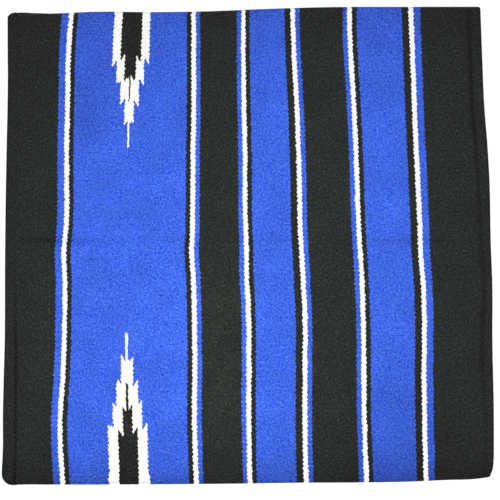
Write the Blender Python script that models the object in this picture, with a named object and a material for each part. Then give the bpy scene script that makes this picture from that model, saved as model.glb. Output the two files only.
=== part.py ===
"""Saddle blanket: one heavy striped cloth, folded double and lying flat.

Metres, +Z up. +X runs across the stripes, +Y towards the folded edge. The origin lies under the
middle of the blanket's box, on the surface that it rests on.

The warp cords run along X and the coloured weft runs along Y. The cloth turns over at its folded
edge and comes back on top of itself, so the outside of the lower layer faces down and the outside
of the upper layer faces up. The two cut ends, left and right, are turned to the inside and sewn
down. A crease crosses the middle, where the blanket bends over a horse's spine.

The cloth is divided where it bends: at the folded edge, with a roll that joins the two layers,
and at the crease, into a fold half and an open half in each layer.
"""

from math import atan2, cos, pi, sin, tan

import bmesh
import bpy
from mathutils import Matrix, Vector

# Driving dimensions: the blanket in plan
FOLD_WIDTH = 0.794
LENGTH = 0.7965
LEFT_FLARE = 0.0097
RIGHT_FLARE = 0.0232
FOLD_TILT = 0.0113
OPEN_RISE = 0.0121
OPEN_RISE_START_SHARE = 0.3
CREASE_TO_FOLD = 0.386
LEFT_CORNER_RADIUS = 0.017
RIGHT_CORNER_RADIUS = 0.010

# The cloth's thickness, its rim and the gap that touching pieces keep
CLOTH = 0.0045
RIM_ROUND = 0.0016
ROLL_END_ROUND = 0.0025
GAP = 0.0003

# Hems, their sewing thread, the selvages and the warp
HEM_TURN = 0.024
STITCH_INSET = 0.020
THREAD_WIDTH = 0.0014
THREAD_HEIGHT = 0.0007
THREAD_END = 0.002
SELVAGE_END = 0.003
WARP_HEIGHT = 0.0012
WARP_PITCH = 0.0036
WARP_VALLEY_SHARE = 0.5
WARP_MARGIN = 0.006

# Bands from the left edge: colour, then width at the folded edge, the crease and the open edge,
# each from one white line's middle to the next. The last band takes the rest of the width.
BANDS = (
    ("black", (0.106, 0.098, 0.101)),
    ("blue", (0.206, 0.215, 0.226)),
    ("black", (0.085, 0.091, 0.090)),
    ("blue", (0.082, 0.092, 0.093)),
    ("black", (0.095, 0.099, 0.103)),
    ("blue", (0.103, 0.102, 0.100)),
)
LAST_BAND = "black"

# The thin lines between two bands: blue beside the black band, white, black beside the blue band
BLUE_LINE = 0.0094
WHITE_LINE = 0.0078
BLACK_LINE = 0.0086

# Points along the curved edges and around the small rounds
EDGE_STEPS = 10
CORNER_STEPS = 6
RIM_STEPS = 2
ROLL_END_STEPS = 2
ROLL_STEPS = 8
SELVAGE_SIDES = 12
SELVAGE_STEPS = 16

# Linear colours and roughness of the yarns
YARNS = {
    "black": (0.024, 0.028, 0.024, 0.92),
    "blue": (0.052, 0.140, 0.780, 0.90),
    "white": (0.930, 0.930, 0.900, 0.90),
    "warp_cotton": (0.720, 0.660, 0.540, 0.90),
    "thread_black": (0.016, 0.017, 0.016, 0.80),
}
STRIPE_YARNS = ("black", "blue", "white")

# Worked out from the dimensions
ROLL_RADIUS = CLOTH + GAP / 2
ROLL_REACH = ROLL_RADIUS + GAP / 2
CREASE_SHARE = CREASE_TO_FOLD / LENGTH
ROWS = {"fold": 0.0, "crease": CREASE_SHARE, "open": 1.0}
HALVES = {"fold_half": ("fold", "crease"), "open_half": ("crease", "open")}
PAST = 0.02


def clear_scene():
    """Remove every object of the scene."""
    for item in list(bpy.data.objects):
        bpy.data.objects.remove(item, do_unlink=True)


def yarn_material(name):
    """Return the material of one yarn, made the first time it is asked for."""
    found = bpy.data.materials.get(name)
    if found:
        return found
    red, green, blue, roughness = YARNS[name]
    material = bpy.data.materials.new(name)
    material.use_nodes = True
    shader = material.node_tree.nodes["Principled BSDF"]
    shader.inputs["Base Color"].default_value = (red, green, blue, 1.0)
    shader.inputs["Roughness"].default_value = roughness
    shader.inputs["Metallic"].default_value = 0.0
    material.diffuse_color = (red, green, blue, 1.0)
    return material


# The plan: u runs from the left edge to the right, v from the roll to the open edge


def left_edge(v):
    """Return x of the left edge, which leans outwards towards the open edge."""
    return -FOLD_WIDTH / 2 - LEFT_FLARE * max(v, 0.0) ** 1.5


def right_edge(v):
    """Return x of the right edge, which spreads quickly and then runs straight."""
    return FOLD_WIDTH / 2 + RIGHT_FLARE * sin(pi / 2 * v)


def roll_line(u):
    """Return y of the straight line where the layers end and the roll starts."""
    return FOLD_TILT * (u - 0.5) - ROLL_REACH


def open_edge(u):
    """Return y of the open edge, which is drawn up towards the right corner."""
    share = max(0.0, (u - OPEN_RISE_START_SHARE) / (1 - OPEN_RISE_START_SHARE))
    return -LENGTH + OPEN_RISE * share**2.2


def plan_point(u, v):
    """Return the plan point at u across and v along the blanket."""
    x = left_edge(v) * (1 - u) + right_edge(v) * u
    y = roll_line(u) * (1 - v) + open_edge(u) * v
    return Vector((x, y))


def row_point(row, x):
    """Return the plan point at x on the fold row, the crease row or the open row."""
    if row == "crease":
        return Vector((x, -CREASE_TO_FOLD))
    v = ROWS[row]
    u = (x - left_edge(v)) / (right_edge(v) - left_edge(v))
    return Vector((x, plan_point(u, v).y))


def side_line(side, inset, half):
    """Return the two ends of a line that runs beside the left or right edge of one half."""
    ends = []
    for row in HALVES[half]:
        v = ROWS[row]
        x = left_edge(v) + inset if side == "left" else right_edge(v) - inset
        ends.append(row_point(row, x))
    return ends


def stretched(start, end, start_past, end_past):
    """Return the ends of a line that runs on past its start and its end by two lengths."""
    along = (end - start).normalized()
    return start - along * start_past, end + along * end_past


def rounded_corner(before, corner, after, radius):
    """Return the points of the arc that replaces a sharp corner."""
    towards_before = (before - corner).normalized()
    towards_after = (after - corner).normalized()
    half_angle = towards_before.angle(towards_after) / 2
    middle = corner + (towards_before + towards_after).normalized() * (radius / sin(half_angle))
    first = corner + towards_before * (radius / tan(half_angle)) - middle
    last = corner + towards_after * (radius / tan(half_angle)) - middle
    start = atan2(first.y, first.x)
    turn = (atan2(last.y, last.x) - start + pi) % (2 * pi) - pi
    angles = [start + turn * step / CORNER_STEPS for step in range(CORNER_STEPS + 1)]
    return [middle + Vector((cos(angle), sin(angle))) * radius for angle in angles]


def layer_outline():
    """Return the outline of one layer, anticlockwise, running on past the roll line."""
    shares = [step / EDGE_STEPS for step in range(1, EDGE_STEPS)]
    left = [Vector((left_edge(0.0), PAST))] + [plan_point(0.0, v) for v in [0.0] + shares]
    bottom = [plan_point(u, 1.0) for u in shares]
    right = [plan_point(1.0, v) for v in reversed([0.0] + shares)] + [Vector((right_edge(0.0), PAST))]
    left_corner = rounded_corner(left[-1], plan_point(0.0, 1.0), bottom[0], LEFT_CORNER_RADIUS)
    right_corner = rounded_corner(bottom[-1], plan_point(1.0, 1.0), right[0], RIGHT_CORNER_RADIUS)
    return left + left_corner + bottom + right_corner + right


def box_middle():
    """Return the middle of the blanket's box in plan, which becomes the origin."""
    points = [point for point in layer_outline() if point.y < 0]
    highest = FOLD_TILT / 2
    lowest = min(point.y for point in points)
    sides = [point.x for point in points]
    return Vector(((min(sides) + max(sides)) / 2, (lowest + highest) / 2))


# Solids in a layer's own height: 0 is the inside face of the cloth and CLOTH the outside face


def prism(points, low, high):
    """Return a closed solid on an anticlockwise outline between two heights."""
    solid = bmesh.new()
    floor = [solid.verts.new((point.x, point.y, low)) for point in points]
    roof = [solid.verts.new((point.x, point.y, high)) for point in points]
    solid.faces.new(reversed(floor))
    solid.faces.new(roof)
    for index, point in enumerate(floor):
        following = (index + 1) % len(floor)
        solid.faces.new((point, floor[following], roof[following], roof[index]))
    return solid


def bar(start, end, width, low, high, start_past=0.0, end_past=0.0):
    """Return a straight bar from start to end, which may run on past either."""
    first, last = stretched(start, end, start_past, end_past)
    along = (end - start).normalized()
    across = Vector((-along.y, along.x)) * (width / 2)
    return prism([first + across, first - across, last - across, last + across], low, high)


def cut(solid, point, normal):
    """Cut off what lies beyond a plane and close the cut."""
    everything = solid.verts[:] + solid.edges[:] + solid.faces[:]
    made = bmesh.ops.bisect_plane(
        solid, geom=everything, dist=1e-7, plane_co=point, plane_no=normal, clear_outer=True
    )
    rim = [item for item in made["geom_cut"] if isinstance(item, bmesh.types.BMEdge)]
    bmesh.ops.edgeloop_fill(solid, edges=rim)
    bmesh.ops.recalc_face_normals(solid, faces=solid.faces[:])


def cut_beside(solid, start, end, shift=0.0):
    """Cut off what lies to the left of the line from start to end, moved left by shift."""
    along = (end - start).normalized()
    leftwards = Vector((-along.y, along.x))
    point = start + leftwards * shift
    cut(solid, (point.x, point.y, 0.0), (leftwards.x, leftwards.y, 0.0))


def layer_blank(half):
    """Return one half of a layer as a plain slab with its rim rounded."""
    solid = prism(layer_outline(), 0.0, CLOTH)
    rim = [edge for edge in solid.edges if abs(edge.verts[0].co.z - edge.verts[1].co.z) < 1e-6]
    rounding = min(RIM_ROUND, 0.45 * CLOTH)
    bmesh.ops.bevel(solid, geom=rim, offset=rounding, segments=RIM_STEPS, profile=0.5, affect="EDGES")
    if half == "fold_half":
        cut(solid, (0.0, -CREASE_TO_FOLD + GAP / 2, 0.0), (0.0, -1.0, 0.0))
        cut_beside(solid, plan_point(0.0, 0.0), plan_point(1.0, 0.0), -GAP / 2)
    else:
        cut(solid, (0.0, -CREASE_TO_FOLD - GAP / 2, 0.0), (0.0, 1.0, 0.0))
    return solid


def joined(solids):
    """Return several solids that don't meet as one mesh."""
    together = bmesh.new()
    for solid in solids:
        mesh = bpy.data.meshes.new("joined")
        solid.to_mesh(mesh)
        solid.free()
        together.from_mesh(mesh)
        bpy.data.meshes.remove(mesh)
    return together


# Stripes


def stripe_plan():
    """Return the stripes' yarns and, between them, each seam's distance from the left edge by row."""
    yarns = []
    seams = []
    middle = {row: 0.0 for row in ROWS}
    following = [yarn for yarn, widths in BANDS[1:]] + [LAST_BAND]
    for (yarn, widths), next_yarn in zip(BANDS, following):
        for row, width in zip(ROWS, widths):
            middle[row] += width
        near_line = BLUE_LINE if yarn == "black" else BLACK_LINE
        far_line = BLUE_LINE if next_yarn == "black" else BLACK_LINE
        half_white = WHITE_LINE / 2
        for shift in (-half_white - near_line, -half_white, half_white, half_white + far_line):
            seams.append({row: middle[row] + shift for row in ROWS})
        near_yarn = "blue" if yarn == "black" else "black"
        far_yarn = "blue" if next_yarn == "black" else "black"
        yarns += [yarn, near_yarn, "white", far_yarn]
    return yarns + [LAST_BAND], seams


def seam_lines(half):
    """Return the two ends of every seam between stripes in one half."""
    _, seams = stripe_plan()
    return [[row_point(row, left_edge(ROWS[row]) + seam[row]) for row in HALVES[half]] for seam in seams]


def weave_stripes(solid, half):
    """Divide a solid along the seams and give each face the yarn of its stripe."""
    yarns, _ = stripe_plan()
    lines = seam_lines(half)
    for start, end in lines:
        across = Vector((end.y - start.y, start.x - end.x, 0.0)).normalized()
        everything = solid.verts[:] + solid.edges[:] + solid.faces[:]
        bmesh.ops.bisect_plane(
            solid, geom=everything, dist=1e-6, plane_co=(start.x, start.y, 0.0), plane_no=across
        )
    for face in solid.faces:
        middle = face.calc_center_median()
        passed = 0
        for start, end in lines:
            share = (middle.y - start.y) / (end.y - start.y)
            passed += start.x + (end.x - start.x) * share < middle.x
        face.material_index = STRIPE_YARNS.index(yarns[passed])


# Pieces of one half of a layer


def warp_outline(half, inwards, past_crease):
    """Return the outline of the warp in one half, drawn inwards from its pocket."""
    inset = HEM_TURN + WARP_MARGIN + inwards
    if half == "fold_half":
        past = (-WARP_MARGIN - inwards, past_crease)
    else:
        past = (past_crease, -CLOTH - GAP - WARP_MARGIN - inwards)
    left_start, left_end = stretched(*side_line("left", inset, half), *past)
    right_start, right_end = stretched(*side_line("right", inset, half), *past)
    return [left_start, left_end, right_end, right_start]


def warp(half):
    """Return the warp cords, which lie side by side in the middle of the cloth, as one ribbed sheet."""
    left_start, left_end, right_end, right_start = warp_outline(half, GAP, -GAP / 2)
    cords = round((left_end - left_start).length / WARP_PITCH)
    solid = bmesh.new()
    ends = []
    for start, end in ((left_start, left_end), (right_start, right_end)):
        tops = []
        undersides = []
        for step in range(2 * cords + 1):
            point = start.lerp(end, step / (2 * cords))
            on_ridge = step % 2 == 1
            rise = WARP_HEIGHT / 2 * (1.0 if on_ridge else WARP_VALLEY_SHARE)
            tops.append(solid.verts.new((point.x, point.y, CLOTH / 2 + rise)))
            undersides.append(solid.verts.new((point.x, point.y, CLOTH / 2 - rise)))
        for strip in zip(tops, tops[1:], undersides[1:], undersides):
            solid.faces.new(strip)
        ends.append(tops + undersides[::-1])
    left_ring, right_ring = ends
    for index, vert in enumerate(left_ring):
        following = (index + 1) % len(left_ring)
        solid.faces.new((vert, left_ring[following], right_ring[following], right_ring[index]))
    bmesh.ops.recalc_face_normals(solid, faces=solid.faces[:])
    return solid


def warp_pocket(half):
    """Return the space that the weft leaves for the warp."""
    outline = warp_outline(half, 0.0, PAST)
    return prism(outline, (CLOTH - WARP_HEIGHT) / 2 - GAP, (CLOTH + WARP_HEIGHT) / 2 + GAP)


def hem(side, half):
    """Return the turned-under edge, which fills the inner half of the thickness."""
    solid = layer_blank(half)
    start, end = side_line(side, HEM_TURN, half)
    if side == "left":
        cut_beside(solid, start, end)
    else:
        cut_beside(solid, end, start)
    cut(solid, (0.0, 0.0, (CLOTH - GAP) / 2), (0.0, 0.0, 1.0))
    return solid


def hem_room(side, half):
    """Return the space for a hem, open to the side and to both ends."""
    width = HEM_TURN + GAP + PAST
    start, end = side_line(side, HEM_TURN + GAP - width / 2, half)
    return bar(start, end, width, -PAST, (CLOTH + GAP) / 2, PAST, PAST)


def hem_thread(side, half):
    """Return the sewing thread of a hem, sunk in the outside face."""
    start, end = side_line(side, STITCH_INSET, half)
    high = CLOTH - GAP
    end_past = -GAP / 2 if half == "fold_half" else -THREAD_END
    return bar(start, end, THREAD_WIDTH, high - THREAD_HEIGHT, high, -GAP / 2, end_past)


def thread_groove(side, half):
    """Return the groove that the stitches pull into the outside face."""
    start, end = side_line(side, STITCH_INSET, half)
    low = CLOTH - 2 * GAP - THREAD_HEIGHT
    return bar(start, end, THREAD_WIDTH + 2 * GAP, low, CLOTH + PAST, PAST, PAST)


def selvage_run(end_gap):
    """Return the points of the open edge that the selvage follows, from hem to hem."""
    first = left_edge(1.0) + HEM_TURN + SELVAGE_END + end_gap
    last = right_edge(1.0) - HEM_TURN - SELVAGE_END - end_gap
    places = [first + (last - first) * step / SELVAGE_STEPS for step in range(SELVAGE_STEPS + 1)]
    return [row_point("open", x) for x in places]


def selvage():
    """Return the firm cord along the open edge, as thick as the cloth."""
    radius = CLOTH / 2
    solid = bmesh.new()
    rings = []
    for point in selvage_run(GAP):
        ring = []
        for side in range(SELVAGE_SIDES):
            angle = 2 * pi * side / SELVAGE_SIDES
            ring.append(
                solid.verts.new((point.x, point.y + radius + radius * cos(angle), radius + radius * sin(angle)))
            )
        rings.append(ring)
    for ring, next_ring in zip(rings, rings[1:]):
        for side in range(SELVAGE_SIDES):
            following = (side + 1) % SELVAGE_SIDES
            solid.faces.new((ring[side], ring[following], next_ring[following], next_ring[side]))
    solid.faces.new(rings[0])
    solid.faces.new(rings[-1])
    bmesh.ops.recalc_face_normals(solid, faces=solid.faces[:])
    return solid


def selvage_room():
    """Return the space for the selvage, open to the front."""
    run = selvage_run(0.0)
    outer = [point - Vector((0.0, PAST)) for point in run]
    inner = [point + Vector((0.0, CLOTH + GAP)) for point in run]
    return prism(outer + inner[::-1], -PAST, CLOTH + PAST)


def fold_roll():
    """Return the roll at the folded edge that joins the two layers, in the blanket's own height."""
    left = plan_point(0.0, 0.0)
    right = plan_point(1.0, 0.0)
    along = (right - left).normalized()
    outwards = Vector((-along.y, along.x))
    solid = bmesh.new()
    ends = []
    for end in (left, right):
        ring = []
        for step in range(ROLL_STEPS + 1):
            angle = pi * (step / ROLL_STEPS - 0.5)
            point = end + outwards * (GAP / 2 + ROLL_RADIUS * cos(angle))
            ring.append(solid.verts.new((point.x, point.y, ROLL_RADIUS + ROLL_RADIUS * sin(angle))))
        ends.append(ring)
    caps = [solid.faces.new(ring) for ring in ends]
    for step in range(-1, ROLL_STEPS):
        solid.faces.new((ends[0][step], ends[0][step + 1], ends[1][step + 1], ends[1][step]))
    rounding = min(ROLL_END_ROUND, 0.45 * ROLL_RADIUS)
    rim = [edge for cap in caps for edge in cap.edges]
    bmesh.ops.recalc_face_normals(solid, faces=solid.faces[:])
    bmesh.ops.bevel(solid, geom=rim, offset=rounding, segments=ROLL_END_STEPS, profile=0.5, affect="EDGES")
    return solid


# Objects


def as_layer(solid, layer):
    """Move a solid from its layer's own height to its place in the blanket."""
    middle = box_middle()
    for vert in solid.verts:
        height = vert.co.z
        vert.co.x -= middle.x
        vert.co.y -= middle.y
        if layer == "upper":
            vert.co.z = CLOTH + GAP + height
        elif layer == "lower":
            vert.co.z = CLOTH - height
    if layer == "lower":
        bmesh.ops.reverse_faces(solid, faces=solid.faces[:])


def add_object(name, solid, layer, yarns, parent=None):
    """Add a solid to the scene as one named object."""
    as_layer(solid, layer)
    mesh = bpy.data.meshes.new(name)
    solid.to_mesh(mesh)
    solid.free()
    for yarn in yarns:
        mesh.materials.append(yarn_material(yarn))
    mesh.shade_smooth()
    mesh.set_sharp_from_angle(angle=0.6)
    item = bpy.data.objects.new(name, mesh)
    bpy.context.collection.objects.link(item)
    if parent:
        item.parent = parent
        item.matrix_parent_inverse = parent.matrix_world.inverted()
    return item


def cut_away(item, solids, layer):
    """Cut several spaces out of an object with one hidden cutter."""
    cutter = add_object("cutter_" + item.name, joined(solids), layer, ("black",))
    cutter.hide_render = True
    cutter.display_type = "WIRE"
    modifier = item.modifiers.new("spaces", "BOOLEAN")
    modifier.operation = "DIFFERENCE"
    modifier.solver = "EXACT"
    modifier.object = cutter


def add_axis(name, point, height, parent=None):
    """Add the empty that marks a joint's axis and carries what turns about it."""
    axis = bpy.data.objects.new(name, None)
    middle = box_middle()
    axis.empty_display_size = 0.05
    place = Matrix.Translation((point.x - middle.x, point.y - middle.y, height))
    if parent:
        axis.parent = parent
        axis.matrix_parent_inverse = parent.matrix_world.inverted()
    axis.matrix_world = place
    bpy.context.collection.objects.link(axis)
    bpy.context.view_layer.update()
    return axis


def add_half(layer, half, axis):
    """Add the woven panel of one half of a layer, its warp, hems, threads and selvage."""
    place = layer + "_" + half
    panel = layer_blank(half)
    weave_stripes(panel, half)
    panel = add_object("woven_panel_" + place, panel, layer, STRIPE_YARNS, axis)
    spaces = [warp_pocket(half)]
    add_object("warp_cords_" + place, warp(half), layer, ("warp_cotton",), axis)
    for side in ("left", "right"):
        add_object(side + "_hem_" + place, hem(side, half), layer, ("black",), axis)
        add_object(side + "_hem_thread_" + place, hem_thread(side, half), layer, ("thread_black",), axis)
        spaces += [hem_room(side, half), thread_groove(side, half)]
    if half == "open_half":
        cord = selvage()
        weave_stripes(cord, half)
        add_object("selvage_" + layer, cord, layer, STRIPE_YARNS, axis)
        spaces.append(selvage_room())
    cut_away(panel, spaces, layer)


def main():
    """Build the blanket."""
    clear_scene()
    crease = Vector((box_middle().x, -CREASE_TO_FOLD))
    roll = plan_point(0.5, 0.0)
    spine_axis = add_axis("spine_bend_axis", crease, -GAP / 2)
    double_axis = add_axis("double_open_axis", roll, ROLL_RADIUS)
    upper_spine_axis = add_axis("upper_spine_bend_axis", crease, -GAP / 2, double_axis)
    add_half("lower", "fold_half", None)
    add_half("lower", "open_half", spine_axis)
    add_half("upper", "fold_half", double_axis)
    add_half("upper", "open_half", upper_spine_axis)
    roll_solid = fold_roll()
    weave_stripes(roll_solid, "fold_half")
    add_object("fold_roll", roll_solid, "both", STRIPE_YARNS)
    middle = box_middle()
    print("roll axis point", round(roll.x - middle.x, 6), round(roll.y - middle.y, 6), round(ROLL_RADIUS, 6))
    print("crease at y", round(crease.y - middle.y, 6), "z", -GAP / 2)


main()
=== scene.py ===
"""Saddle blanket: the looks of a striped, weft-faced cloth that lies folded double.

Metres, +Z up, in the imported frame: +X runs across the stripes and +Y towards the folded edge. The
warp runs along X inside the cloth, and each coloured weft yarn runs along Y and passes over one
warp row and under the next, so every row of stitches sits half a stitch aside from its neighbours.

Each layer is a skin of stitch rows that wraps around its own edges. Its weave map counts stitches
across and rows from the folded edge, and the yarns take their colours from those counts.
"""

import logging
from collections.abc import Callable, Sequence
from dataclasses import dataclass, field
from enum import Enum
from math import asin, cos, floor, pi, sin, sqrt

import bmesh
import bpy
import numpy as np
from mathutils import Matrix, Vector, noise


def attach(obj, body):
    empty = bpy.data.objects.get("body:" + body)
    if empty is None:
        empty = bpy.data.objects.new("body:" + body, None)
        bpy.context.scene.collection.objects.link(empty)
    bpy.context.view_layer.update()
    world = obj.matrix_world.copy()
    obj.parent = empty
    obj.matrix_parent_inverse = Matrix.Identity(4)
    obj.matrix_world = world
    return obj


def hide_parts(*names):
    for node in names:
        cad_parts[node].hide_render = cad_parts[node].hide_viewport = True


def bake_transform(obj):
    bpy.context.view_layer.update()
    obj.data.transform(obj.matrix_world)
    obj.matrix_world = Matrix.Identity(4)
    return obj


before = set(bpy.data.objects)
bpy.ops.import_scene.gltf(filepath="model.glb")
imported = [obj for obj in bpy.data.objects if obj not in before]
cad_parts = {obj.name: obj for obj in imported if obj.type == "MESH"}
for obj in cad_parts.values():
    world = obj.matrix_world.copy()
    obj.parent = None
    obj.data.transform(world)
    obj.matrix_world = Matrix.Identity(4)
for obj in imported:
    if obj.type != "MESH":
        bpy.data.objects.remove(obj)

log = logging.getLogger("saddle_blanket")

Colour = tuple[float, float, float, float]
Numbers = np.ndarray | float
Source = bpy.types.NodeSocket | float | tuple[float, ...]


def smooth_curve(stations: Sequence[float], values: Sequence[float], place: Numbers) -> Numbers:
    """Return a smooth curve's value through given values at uneven stations.

    Args:
        stations: Rising places of the values.
        values: The curve's values at the stations.
        place: Where the curve is wanted, between the first and the last station.

    Returns:
        The value of the cubic curve that passes through every given value.
    """
    known = np.asarray(stations, dtype=float)
    level = np.asarray(values, dtype=float)
    slopes = np.gradient(level, known)
    index = np.clip(np.searchsorted(known, place) - 1, 0, len(known) - 2)
    width = known[index + 1] - known[index]
    share = (place - known[index]) / width
    bend_in = slopes[index] * width
    bend_out = slopes[index + 1] * width
    swing = level[index + 1] - level[index]
    cubic = (bend_in + bend_out - 2 * swing) * share + (3 * swing - 2 * bend_in - bend_out)
    return level[index] + share * (bend_in + share * cubic)


def stray(stations: Sequence[float], millimetres: Sequence[float], place: Numbers) -> Numbers:
    """Return a smooth curve's value in metres, through values in millimetres."""
    return smooth_curve(stations, millimetres, place) / 1000


def smooth_step(low: float, high: float, value: Numbers) -> Numbers:
    """Return 0 below low, 1 above high and a smooth rise between them."""
    share = np.clip((value - low) / (high - low), 0.0, 1.0)
    return share * share * (3.0 - 2.0 * share)


def bell(offset: Numbers, reach: float) -> Numbers:
    """Return 1 at no offset, and a smooth fall to about a third at the reach."""
    return np.exp(-((offset / reach) ** 2))


def round_off(distance: np.ndarray, radius: float) -> np.ndarray:
    """Return how far a round corner draws an edge in, at distances from the corner's side."""
    near = np.clip(radius - distance, 0.0, radius)
    return radius - np.sqrt(radius**2 - near**2)


def waver(x: np.ndarray, y: np.ndarray, seed: float) -> np.ndarray:
    """Return a smooth noise about nothing at places in a plane."""
    return np.array([noise.noise(Vector((*place, seed))) for place in zip(x.tolist(), y.tolist())])


class Yarn(Enum):
    """The dyed weft yarns."""

    BLACK = "black"
    BLUE = "blue"
    WHITE = "white"


class Side(Enum):
    """The two cut sides of the cloth."""

    LEFT = "left"
    RIGHT = "right"

    @property
    def sign(self) -> int:
        """The direction in which the side faces along X."""
        return -1 if self is Side.LEFT else 1


class Layer(Enum):
    """The two layers of the folded cloth."""

    LOWER = "lower"
    UPPER = "upper"


@dataclass(frozen=True)
class Cloth:
    """Sizes of the woven cloth, in metres, and its counts of rows from the roll."""

    thickness: float = 0.0045
    layer_gap: float = 0.0003
    side_radius: float = 0.00225
    rib_depth: float = 0.00032
    row_pitch: float = 0.00366
    stitch_pitch: float = 0.0038
    rows_to_crease: int = 107
    rows_to_selvage: int = 214
    roll_rows: int = 4
    steps_per_row: int = 3
    crease_depth: float = 0.0005
    crease_reach: float = 0.005

    @property
    def middle(self) -> float:
        """Height of the middle of one layer above its inside face."""
        return self.thickness / 2

    @property
    def fold_height(self) -> float:
        """Height of the fold's middle above the surface that the blanket lies on."""
        return self.thickness + self.layer_gap / 2


@dataclass(frozen=True)
class Hem:
    """Sizes of the turned-under sides and of their sewing, in metres.

    A wander gives how far a seam strays from its inset, in millimetres, and a pull how tightly it
    is drawn in, both at shares of the length. The stitches' dive, stand and least depths are in
    radii of the thread, and its waist is the share of the radius that is left between stitches.
    """

    turn: float = 0.024
    ply: float = 0.0020
    rebate: float = 0.0021
    rebate_clearance: float = 0.0003
    rows_to_roll: float = 0.12
    end_inset: float = 0.0008
    fold_inset: float = 0.0029
    edge_round: float = 0.0006
    raw_edge_low: float = 0.0005
    fray: float = 0.0005
    fray_start: float = 0.0215
    fray_scale: float = 0.9
    fray_seeds: tuple[float, float] = (3.1, 8.7)
    visible_at: tuple[float, ...] = (
        0.0034, 0.0060, 0.0100, 0.0150, 0.0182, 0.0191, 0.0200, 0.0209, 0.0218, 0.0228, 0.0235,
    )
    hidden_at: tuple[float, ...] = (0.0235, 0.0200, 0.0145, 0.0080, 0.0034)
    seam_inset: float = 0.020
    seam_reach: float = 0.0026
    still_side: float = 0.0034
    groove_depth: float = 0.0011
    groove_reach: float = 0.0014
    inner_pull: float = 0.6
    stitch_pitch: float = 0.0042
    stitch_stations: tuple[float, ...] = (0.0, 0.14, 0.30, 0.50, 0.70, 0.86)
    stitches_past_roll: float = 0.3
    stitches_to_edge: float = 2.2
    thread_radius: float = 0.00036
    thread_sides: int = 6
    thread_waist: float = 0.62
    stitch_dive: float = 3.0
    stitch_stand: float = 0.6
    least_depth: float = 1.7
    least_inner_depth: float = 1.4
    wander_at: tuple[float, ...] = (0.0, 0.10, 0.22, 0.38, 0.58, 0.74, 0.88, 1.0)
    left_wander: tuple[float, ...] = (-2.4, -2.6, -2.9, -3.0, -3.4, 0.2, 1.6, 1.8)
    right_wander: tuple[float, ...] = (0.6, 0.7, 1.0, -0.5, -5.0, -1.4, -5.2, -5.6)
    left_pull: tuple[float, ...] = (0.30, 0.28, 0.26, 0.15, 0.44, 1.12, 1.14, 1.14)
    right_pull: tuple[float, ...] = (0.72, 0.84, 0.88, 0.58, 0.58, 0.62, 0.30, 0.25)

    def seam_shift(self, side: Side, share: float) -> float:
        """Return how far the seam strays from its inset, at a share of the length."""
        wander = self.left_wander if side is Side.LEFT else self.right_wander
        return stray(self.wander_at, wander, share)

    def seam_pull(self, side: Side, share: float) -> float:
        """Return how tightly the seam is pulled in, at a share of the length."""
        pull = self.left_pull if side is Side.LEFT else self.right_pull
        return smooth_curve(self.wander_at, pull, share)

    def follow_seam(self, distance: np.ndarray, shift: Numbers, end: float) -> np.ndarray:
        """Return distances from the side, shifted with the seam and eased to nothing beside it.

        Args:
            distance: Distances from the side of the cloth.
            shift: How far the seam strays.
            end: The distance from which nothing shifts.

        Returns:
            The shifted distances.
        """
        near, far = self.seam_inset - self.seam_reach, self.seam_inset + self.seam_reach
        return distance + shift * np.interp(distance, (self.still_side, near, far, end), (0, 1, 1, 0))

    def ring(self) -> tuple[np.ndarray, np.ndarray]:
        """Return the cross-section of the strip that is turned under, closed.

        Returns:
            Distances from the side, and heights, which are 0 on the face that shows.
        """
        spots = [(distance, 0.0) for distance in self.visible_at]
        spots += [(self.turn, self.raw_edge_low), (self.turn, self.ply - self.edge_round)]
        spots += [(distance, self.ply) for distance in self.hidden_at]
        spots += [(self.fold_inset, self.ply - self.edge_round), (self.fold_inset, self.edge_round)]
        distances, heights = np.array(spots + spots[:1]).T
        return distances, heights


@dataclass(frozen=True)
class Band:
    """One stripe: its yarn, the number of stitches in it and how pale its dye lot is, about 0.5."""

    yarn: Yarn
    stitches: int
    tone: float = 0.5

    @property
    def mask(self) -> Colour:
        """The mask colour: the dye lot's tone, then whether it is blue, then whether it is white."""
        return (self.tone, float(self.yarn is Yarn.BLUE), float(self.yarn is Yarn.WHITE), 1.0)


@dataclass(frozen=True)
class Step:
    """One step of a stepped spire: where it starts and ends from the axis, and how far it reaches.

    Distances from the axis are in picks, of which two make a stitch, and reaches are in rows.
    """

    inner: float
    outer: float
    inner_reach: float
    outer_reach: float


@dataclass(frozen=True)
class Spire:
    """A stepped half diamond that rises from one end: a white one and a black one inside it.

    Each has its steps, and a thin line on its axis: its half width in picks and its reach in rows.
    """

    white_steps: tuple[Step, ...]
    black_steps: tuple[Step, ...]
    white_line: tuple[float, float]
    black_line: tuple[float, float]


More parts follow.
